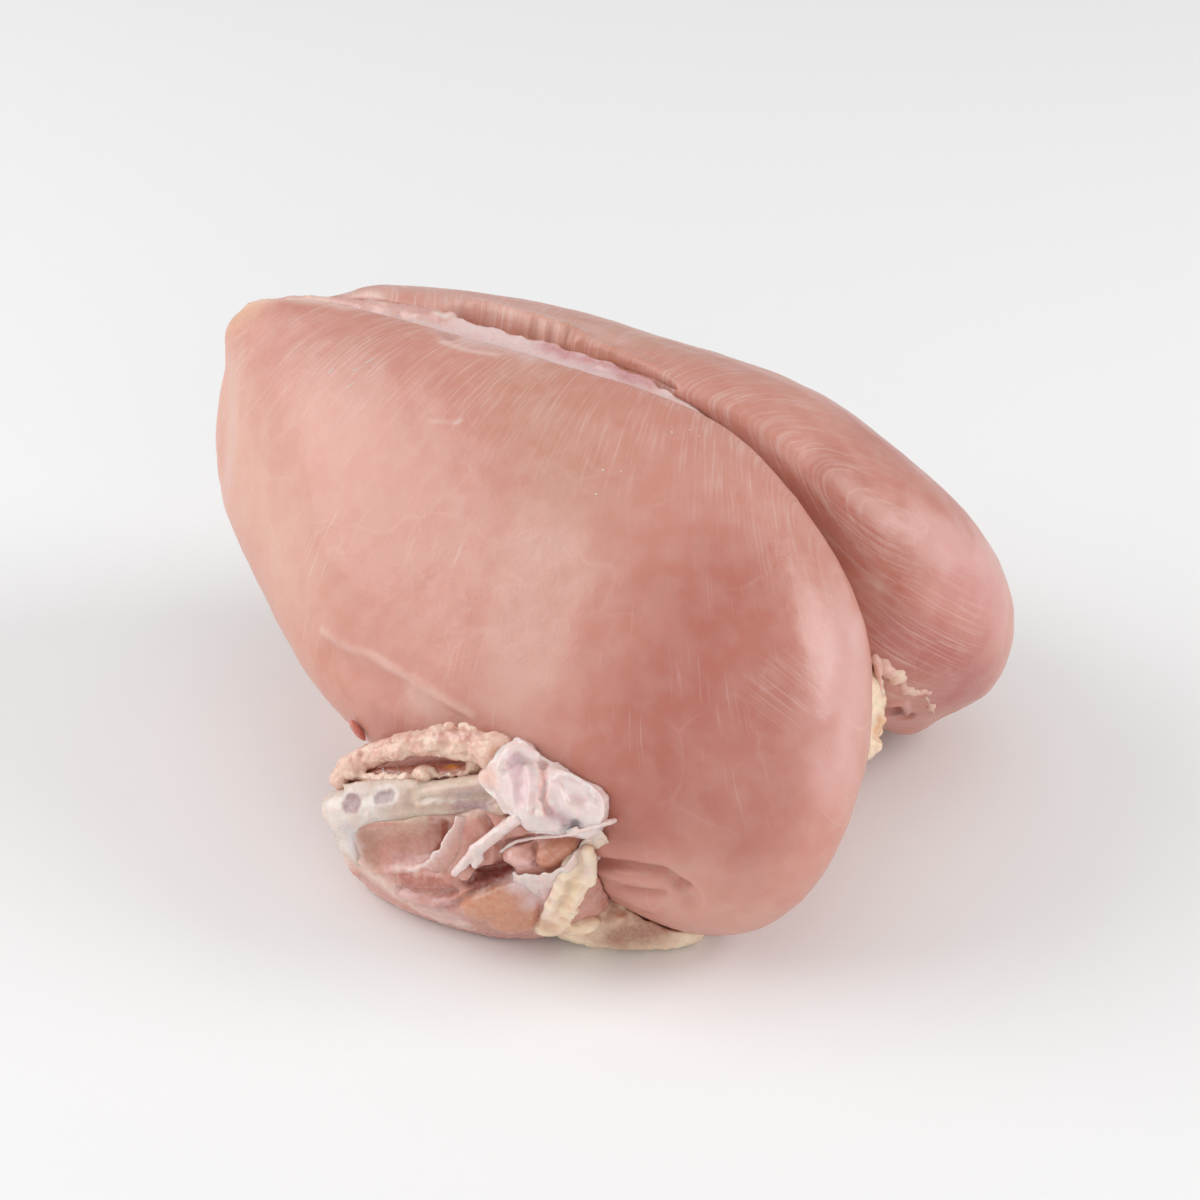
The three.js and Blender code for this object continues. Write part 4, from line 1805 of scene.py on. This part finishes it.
    def build_roll(self, palette: Palette) -> None:
        """Lumpy roll of fat over the bone, with crumbs along its foot.

        Args:
            palette: The materials.
        """
        face = self.face
        balls = [
            face.ball((-22.6, 10.4, 2.6), 1.8, 1.2, 1.4),
            face.ball((-8.0, 10.4, -0.3), 2.3, 2.1, 1.8),
            face.ball((-6.4, 11.0, -0.5), 1.5, 1.5, 1.4),
            face.ball((5.6, 14.8, -1.8), 3.0, 3.4, 2.6, -25),
            face.ball((2.4, 13.4, -1.4), 2.2, 2.2, 1.8),
            face.ball((-13, 15.4, -1.4), 3.4, 2.2, 2.0, 14),
            face.ball((-5, 18.6, -2.8), 3.4, 2.2, 2.4, 4),
        ]
        for step in range(13):
            up, size = 10.0 + 0.4 * math.sin(2.3 * step), 0.8 + 0.3 * math.sin(4.1 * step)
            balls.append(self.crumb(-21 + 0.85 * step, up, size))
        for step in range(6):
            balls.append(self.crumb(-4.8 + 1.1 * step, 10.5 + 0.14 * step, 0.55 + 0.2 * math.sin(3.7 * step)))
        balls += [self.crumb(*spot) for spot in ((-2.6, 20.6, 0.8), (0.2, 20.6, 0.9), (2.0, 20.0, 0.8))]
        strands = [
            face.strand(2.1, 2.5, (-25.4, 9.2, 3.4), (-24.2, 11.2, 3.0), (-22.4, 12.8, 0),
                        (-20.4, 13.4, -1.6)),
            face.strand(2.4, 3.4, (-20.4, 13.2, -2.2), (-16, 15.2, -2.6), (-10, 16.9, -3.0),
                        (-4, 17.2, -3.2), (2, 16.9, -3.2), (6.8, 16.2, -3.2)),
        ]
        piece = self.clay("fat_roll_lumps", None, voxel=0.36, passes=5, balls=balls, strands=strands)
        dents = [
            face.dent(1.2, -0.6, (-21, 13.2), (-20.4, 15)),
            face.dent(1.6, -0.7, (-6, 14.8), (-3, 17.4)),
            face.dent(1.4, -0.6, (0.4, 15), (1.4, 18)),
        ]
        colours = [
            Stroke(face.path((-25, 9.8, 4), (-22.6, 12.4, 1), (-20, 14, 0)), 4.0, 0.75, tone(236, 194, 174)),
            *(
                face.stroke(
                    2.4, 0.6, tone(226, 166, 150), (right, 15.4 + 0.14 * (right + 16) + math.sin(3 * right))
                )
                for right in (-18, -13.4, -9, -3.6, 0.6, 4)
            ),
            face.stroke(2.0, 0.6, tone(214, 156, 140), (-18, 17.6), (-6, 19.6), (4, 19)),
            # Painted shade along the foot of the roll
            face.stroke(1.6, 0.8, tone(190, 116, 84), (-20, 12.0), (-10, 13.6), (-1, 13.8)),
            face.stroke(3.6, 0.85, tone(206, 152, 120), (5.6, 16.4), (7.6, 14.6)),
            face.stroke(2.0, 0.6, tone(232, 188, 166), (1.6, 13), (3.4, 12)),
            *(
                face.stroke(0.8, 0.9, tone(196, 92, 84), spot)
                for spot in ((-21.5, 12.8), (-21.1, 14.4), (-16, 18.3), (-1, 19))
            ),
            face.stroke(2.2, 0.8, tone(244, 224, 196), (-8, 10.4), (-6.4, 11)),
            face.stroke(1.4, 0.7, tone(228, 214, 200), (-20, 9), (-11, 9.5)),
        ]
        self.finish(piece, tone(236, 206, 186), dents, (0.6, 2.6), colours, ragged=1.0)
        roughen(piece, (0.28, 1.1))
        palette.dress(piece, ROLL_FAT, Slot.FAT, self.side.node("fat_roll"))

    def build_sheet(self, palette: Palette) -> None:
        """Torn sheet of fat beside the cut and the fat under the lobe.

        Args:
            palette: The materials.
        """
        face = self.face
        torn = Sheet(
            face.path((20.4, -3.4, 0.4), (19.4, -6.4, 0.8), (18.2, -9, 1.2), (16.8, -12.8, 1.0),
                      (15.6, -15.6, 0.5), (14.6, -18.4, -0.4)),
            face.path((25.4, -2.2, 1.6), (26.2, -6.4, 2.4), (25.2, -9.8, 2.4), (23.6, -13.6, 2.2),
                      (22.6, -16.8, 1.5), (18.4, -20, 0.6)),
            thick=1.2,
            ragged=1.2,
            stray_size=2.6,
        )
        balls = [
            face.ball((17, -19.2, -1.8), 4.4, 2.4, 2.4, 10),
            face.ball((22.6, -18.8, -2.4), 5.4, 2.4, 3.0, 6),
            face.ball((28, -18.0, -2.4), 5.0, 2.0, 2.6, 6),
            face.ball((29.6, -15.2, -1.4), 3.0, 1.4, 1.8, -28),
            face.ball((34.2, -17.4, -1.8), 3.4, 1.4, 1.8, -24),
        ]
        piece = self.clay("fat_sheet", "fat_flap", voxel=0.42, passes=4, balls=balls, sheets=[torn])
        folds = (
            ((22.6, -3.6, 1.6), (22.2, -8, 2.2), (20.4, -12, 2.2), (18.2, -16.4, 1.2)),
            ((18.8, -9.4, 1.8), (21, -10.6, 2.2), (23.6, -10.8, 2.6)),
            ((17.4, -13.8, 1.4), (20, -15, 1.8), (22, -15.2, 2.2)),
            ((19.6, -17.4, 1.2), (22, -17.8, 1.6)),
        )
        ridges = (
            ((24.4, -3.4, 2.2), (24.6, -7.4, 2.8), (23.2, -11.4, 2.8), (21.4, -15.6, 2.2)),
            ((20.4, -6, 1.6), (19.2, -10.6, 1.9), (17.4, -15.4, 1.2)),
            ((25.8, -4.6, 2.8), (25.6, -7.6, 3), (24.6, -11, 3)),
        )
        dents = [
            *(Stroke(face.path(*fold), 1.5, -0.6) for fold in folds),
            *(Stroke(face.path(*ridge), 1.4, 0.6) for ridge in ridges),
        ]
        colours = [
            *(Stroke(face.path(*fold), 1.3, 0.55, tone(228, 178, 150)) for fold in folds),
            *(Stroke(face.path(*ridge), 1.2, 0.6, tone(252, 240, 222)) for ridge in ridges),
            face.stroke(3.6, 0.7, tone(238, 210, 198), (19.4, -5), (17.8, -9), (16.6, -13), (15.6, -17)),
            face.stroke(3.0, 0.6, tone(255, 228, 186), (23, -8), (20.6, -14)),
            face.stroke(1.6, 0.5, tone(232, 184, 160), (22.4, -5.6), (24.4, -8.4)),
            face.stroke(1.4, 0.5, tone(232, 188, 162), (19.4, -12), (22.2, -13.2)),
            Stroke(
                face.path((23, -3.4, 1.6), (25, -5.4, 2.4), (24.6, -7.6, 2.6)), 3.0, 0.7, tone(244, 226, 216)
            ),
            face.stroke(3.4, 0.75, tone(216, 180, 150), (16.4, -18.6), (18, -20), (24, -20.4)),
            # Brown under the lobe, partly the skin's colour and partly painted shadow of the lobe
            face.stroke(7.5, 0.9, tone(166, 110, 84), (30, -22), (38, -20), (44, -19)),
            face.stroke(2.2, 0.9, tone(170, 112, 88), (25, -15.0), (30, -15.6)),
            face.stroke(3.0, 0.75, tone(206, 164, 136), (25, -18.2), (33, -17.6)),
        ]
        self.finish(piece, tone(254, 232, 202), dents, (0.6, 3.0), colours, ragged=1.0)
        roughen(piece, (0.16, 0.9))
        palette.dress(piece, FATTY, Slot.FAT, self.side.node("fat_flap"))

    def build_tendons(self, palette: Palette) -> None:
        """White tendons and torn fascia over the muscles.

        Args:
            palette: The materials.
        """
        face = self.face
        strands = [
            face.strand(1.3, 1.5, (11.0, 3.2, -0.6), (7.9, 0.6, 0.6), (4.9, -1.8, 1.2), (2.6, -3.6, 1.3)),
            face.strand(1.2, 0.9, (2.4, -3.8, 1.4), (0.4, -6.2, 2.2), (-1.6, -8.3, 1.8)),
            face.strand(0.9, 0.7, (2.8, -3.8, 1.4), (3.2, -5.2, 1.8), (2.4, -6.6, 2.6)),
            face.strand(0.4, 0.6, (7.6, -3.8, 0.2), (10.6, -1.8, 0.2), (15, -0.9, 0.4), (20, 0.0, 0.6),
                        (24, 1.2, 0.6), (29.8, 2.8, 0.8)),
            face.strand(0.35, 0.35, (14.6, 0.4, 0.3), (19, 0.8, 0.3), (22.4, 1.6, 0.3)),
            face.strand(0.22, 0.22, (-16.6, 12.4, 0.2), (-15.2, 9.4, 0.4)),
            face.strand(0.22, 0.22, (-13.6, 12.6, 0.2), (-12.4, 9.8, 0.4)),
        ]
        frills = (
            (
                ((29.4, -2.6, -0.8), (27.4, -4.6, -0.8), (25.0, -7.6, -1.0), (21.8, -10.6, -1.2),
                 (17.6, -12.8, -1.4), (13.4, -13.2, -1.4), (10.0, -11.8, -1.4)),
                ((27.0, 1.2, 0.9), (23.6, -1.6, 1.6), (21.6, -4.0, 2.6), (19.4, -6.6, 2.4), (15.8, -8.0, 2.0),
                 (12.6, -8.2, 1.2), (9.6, -8.2, 0.4)),
            ),
            (
                ((4.4, 2.6, -1.2), (3.0, -0.6, -0.8), (1.6, -3.4, -0.6), (0.2, -6.4, -0.8), (-3, -9.4, -1.2)),
                ((-1.4, 2.8, 0.6), (-3.0, -0.2, 1.4), (-4.2, -2.6, 1.8), (-6.2, -5.0, 1.6),
                 (-8.6, -7.2, 0.6)),
            ),
        )
        sheets = [
            Sheet(face.path(*edge), face.path(*free), thick=0.5, ragged=0.8, stray_size=1.9)
            for edge, free in frills
        ]
        knot = [
            face.ball((2.4, -4.2, 1.7), 2.0, 1.4, 1.1, 40),
            face.ball((3.4, -5.2, 1.8), 1.2, 0.9, 0.9, 60),
        ]
        piece = self.clay("tendons", None, voxel=0.3, passes=3, balls=knot, strands=strands, sheets=sheets)
        halfway = [
            tuple(tuple((a + b) / 2 for a, b in zip(*pair)) for pair in zip(sheet.edge, sheet.free))
            for sheet in sheets
        ]
        colours = [
            Stroke(halfway[0], 4.0, 0.9, tone(236, 207, 202)),
            Stroke(sheets[0].edge, 4.0, 0.7, tone(222, 182, 170)),
            Stroke(halfway[0][:3], 3.0, 0.8, tone(238, 214, 190)),
            Stroke(halfway[1], 4.0, 0.95, tone(208, 156, 142)),
            Stroke(sheets[1].edge, 4.0, 0.95, tone(202, 146, 132)),
            face.stroke(1.4, 0.5, tone(222, 186, 186), (10, -2), (20, 0.4)),
            # Painted highlight along the frills' torn edges
            *(Stroke(sheet.free, 0.9, 0.8, tone(240, 224, 216)) for sheet in sheets),
            *(Stroke(strand.path, 1.8, 0.9, tone(228, 216, 213)) for strand in strands[:3]),
        ]
        self.finish(piece, tone(234, 214, 208), [], (0.22, 1.6), colours, ragged=0.4)
        palette.dress(piece, FASCIA, Slot.MEMBRANE)

    def build(self, palette: Palette) -> None:
        """Model every piece of the shoulder.

        Args:
            palette: The materials.
        """
        self.build_flesh(palette)
        self.build_bone(palette)
        self.build_gristle(palette)
        self.build_roll(palette)
        self.build_sheet(palette)
        self.build_tendons(palette)


@dataclass
class NeckFat:
    """Fat in the neck opening between the lobes.

    Attributes:
        lumps: Small lumps stuck on its solid, in mm.
        beads: Beads of fat on the right lobe beside it, in mm.
        threads: Torn membrane beside them, in mm.
    """

    lumps: tuple[Ball, ...] = (
        Ball((73.4, 2.2, 34.6), (1.2, 1.5, 1.3)),
        Ball((74.0, 4.4, 33.4), (1.2, 1.2, 1.6)),
        Ball((74.6, 1.4, 31.6), (1.4, 1.8, 1.8)),
        Ball((73.6, 3.8, 29.4), (1.4, 1.6, 1.6)),
        Ball((72.4, -4.4, 35.2), (2.4, 3.4, 2.6)),
        Ball((73.2, -8.0, 30.0), (2.2, 2.6, 3.4)),
        Ball((74.6, -2.6, 26.4), (2.4, 3.6, 2.4)),
        Ball((71.6, 4.4, 25.2), (2.2, 2.4, 2.2)),
        Ball((72.4, -6.4, 22.4), (2.2, 3.2, 2.6)),
    )
    beads: tuple[Ball, ...] = (
        Ball((70.9, 5.0, 42.8), (1.1, 1.1, 1.3)),
        Ball((71.9, 6.9, 40.4), (1.8, 2.0, 2.4)),
        Ball((72.6, 8.0, 38.6), (1.7, 1.6, 1.8)),
        Ball((73.4, 9.8, 36.7), (2.0, 1.8, 2.2)),
        Ball((74.2, 10.3, 37.6), (1.3, 1.3, 1.3)),
        Ball((74.2, 11.2, 35.6), (1.4, 1.4, 1.4)),
        Ball((74.0, 12.7, 33.3), (1.0, 1.3, 1.6)),
        Ball((74.3, 14.4, 31.2), (1.5, 2.0, 1.6)),
        Ball((75.0, 16.2, 29.6), (1.3, 1.8, 1.2)),
        Ball((76.2, 17.8, 29.4), (1.1, 2.2, 1.0)),
        Ball((77.0, 19.4, 28.2), (0.8, 1.4, 0.8)),
        Ball((75.7, 23.4, 21.8), (1.2, 1.3, 1.3)),
    )
    threads: tuple[Strand, ...] = (
        Strand(((71.2, 5.0, 42.2), (72.2, 4.4, 39.4), (73.0, 3.6, 36.4), (73.4, 3.0, 34.6)), 0.8, 0.7),
        Strand(((76.2, 19.6, 26.4), (75.9, 22.4, 23.0), (75.2, 26.4, 17.8)), 0.55, 0.35),
    )

    def build_plug(self, palette: Palette) -> None:
        """Model the fat that fills the opening, colour it and dress it.

        Args:
            palette: The materials.
        """
        piece = copy_of_node("neck_fat", "neck_fat_lumps")
        knead(piece, voxel=0.45, passes=2, balls=self.lumps)
        roughen(piece, (1.5, 7), (0.4, 2))
        amber = Stroke(((74.6, 1.4, 29.6), (73.6, 3.8, 26.6)), 4.0, 0.85, tone(230, 174, 108))
        veils = tuple(
            Stroke(
                ((72, -9 + 4 * step, 25 + 6 * math.sin(2 * step)), (76, -7 + 4 * step, 33)), 2.2, 0.5, PEACH
            )
            for step in range(5)
        )
        paint(piece, tone(238, 216, 186), (*veils, amber), ragged=1.2)
        palette.dress(piece, FATTY, Slot.FAT, "neck_fat")

    def build_beads(self, palette: Palette) -> None:
        """Model the beads and the torn membrane, colour them and dress them.

        Args:
            palette: The materials.
        """
        piece = new_piece("neck_beads")
        knead(piece, voxel=0.3, passes=5, balls=self.beads, strands=self.threads)
        roughen(piece, (0.15, 1.8))
        colours = (
            Stroke(((71.9, 6.9, 40.4), (72.6, 8.0, 38.6)), 3.4, 0.9, tone(222, 180, 164)),
            Stroke(((74.0, 10.2, 37.0),), 3.4, 0.95, tone(244, 230, 200)),
            Stroke(((74.3, 14.4, 31.2), (75.0, 16.2, 29.6)), 2.6, 0.8, tone(234, 206, 186)),
            Stroke(((75.7, 23.4, 21.8),), 2.0, 0.9, tone(242, 220, 208)),
        )
        paint(piece, tone(218, 172, 158), colours, ragged=0.6)
        palette.dress(piece, FATTY, Slot.FAT)

    def build(self, palette: Palette) -> None:
        """Model the fat and the beads.

        Args:
            palette: The materials.
        """
        self.build_plug(palette)
        self.build_beads(palette)


@dataclass
class RibCage:
    """The rib cage that closes the underside.

    Attributes:
        voxel: Size of its skin's faces in mm.
        passes: How often its skin is smoothed.
        lumps: Height and size of its uneven lumps in mm.
    """

    voxel: float = 1.0
    passes: int = 4
    lumps: tuple[float, float] = (0.3, 6)

    def build(self, palette: Palette) -> None:
        """Model the lining, colour it and dress it.

        Args:
            palette: The materials.
        """
        piece = copy_of_node("rib_cage", "rib_cage_lining")
        work_together(piece, self.voxel, self.passes)
        roughen(piece, self.lumps)
        paint(piece, tone(214, 160, 146), (), ragged=4)
        palette.dress(piece, RIB_LINING, Slot.MEMBRANE, "rib_cage")


@dataclass(frozen=True)
class Lamp:
    """A soft square light that faces the object.

    Attributes:
        name: Name of the light.
        azimuth: Direction round the object in degrees, as the camera's.
        height: Angle above the floor in degrees.
        distance: Distance in metres.
        size: Side of the light in metres.
        power: Power in watts.
    """

    name: str
    azimuth: float
    height: float
    distance: float
    size: float
    power: float

    def hang(self, target: float) -> None:
        """Hang the light.

        Args:
            target: Height above the floor that it faces, in metres.
        """
        lamp = bpy.data.lights.new(self.name, "AREA")
        lamp.size = self.size
        lamp.energy = self.power
        holder = bpy.data.objects.new(self.name, lamp)
        turn = Euler((math.radians(90 - self.height), 0, math.radians(self.azimuth)))
        holder.rotation_euler = turn
        holder.location = turn.to_matrix() @ Vector((0, 0, self.distance)) + Vector((0, 0, target))
        bpy.context.scene.collection.objects.link(holder)


@dataclass
class Studio:
    """Pale floor, soft light and the camera.

    Attributes:
        camera_place: Place of the camera in metres.
        camera_turn: Azimuth and height of its view in degrees.
        lens: Focal length in mm.
        sensor: Width of the camera's sensor in mm.
        floor_size: Side of the floor in metres.
        floor_shade: Lightness of the floor.
        floor_roughness: Roughness of the floor.
        sky: Strength of the light from all round.
        target: Height above the floor that the lamps face, in metres.
        lamps: The lamps.
    """

    camera_place: Point = (0.3154, -0.5060, 0.4244)
    camera_turn: tuple[float, float] = (31.25, 33.10)
    lens: float = 100.0
    sensor: float = 36.0
    floor_size: float = 4.0
    floor_shade: float = 0.9
    floor_roughness: float = 0.6
    sky: float = 0.42
    target: float = 0.05
    lamps: tuple[Lamp, ...] = (
        Lamp("key", azimuth=-62, height=30, distance=1.1, size=1.0, power=8.5),
        Lamp("fill", azimuth=118, height=30, distance=1.2, size=0.6, power=6.5),
        Lamp("top", azimuth=20, height=88, distance=1.3, size=1.0, power=1.4),
        Lamp("front", azimuth=42, height=16, distance=1.3, size=1.0, power=3.4),
    )

    def lay_floor(self) -> None:
        """Lay the plain pale floor."""
        deselect()
        bpy.ops.mesh.primitive_plane_add(size=self.floor_size)
        floor = bpy.context.object
        floor.name = "floor"
        material = bpy.data.materials.new("floor")
        material.use_nodes = True
        shader = material.node_tree.nodes["Principled BSDF"]
        shader.inputs["Base Color"].default_value = (self.floor_shade, self.floor_shade, self.floor_shade, 1)
        shader.inputs["Roughness"].default_value = self.floor_roughness
        floor.data.materials.append(material)

    def set_camera(self) -> None:
        """Place the camera where the object was seen from."""
        lens = bpy.data.cameras.new("camera")
        lens.lens = self.lens
        lens.sensor_width = self.sensor
        camera = bpy.data.objects.new("camera", lens)
        azimuth, height = self.camera_turn
        camera.rotation_euler = (math.radians(90 - height), 0, math.radians(azimuth))
        camera.location = self.camera_place
        bpy.context.scene.collection.objects.link(camera)
        bpy.context.scene.camera = camera

    def build(self) -> None:
        """Set up floor, light and camera."""
        self.lay_floor()
        world = bpy.data.worlds.new("studio")
        world.use_nodes = True
        background = world.node_tree.nodes["Background"]
        background.inputs["Strength"].default_value = self.sky
        background.inputs["Color"].default_value = (1, 1, 1, 1)
        bpy.context.scene.world = world
        for lamp in self.lamps:
            lamp.hang(self.target)
        self.set_camera()
        bpy.context.scene.view_settings.view_transform = "Standard"


def main() -> None:
    """Build every piece in order and note the sizes."""
    logging.basicConfig(level=logging.INFO, format="%(relativeCreated)6d ms %(message)s")
    Studio().build()
    palette = Palette()
    face = CutFace()
    for side in Side:
        BreastMuscle(side).build(palette)
        ShoulderCut(side, face).build(palette)
    BreastBone().build(palette)
    LooseFlecks().build(palette)
    NeckFat().build(palette)
    RibCage().build(palette)


if __name__ == "__main__":
    main()
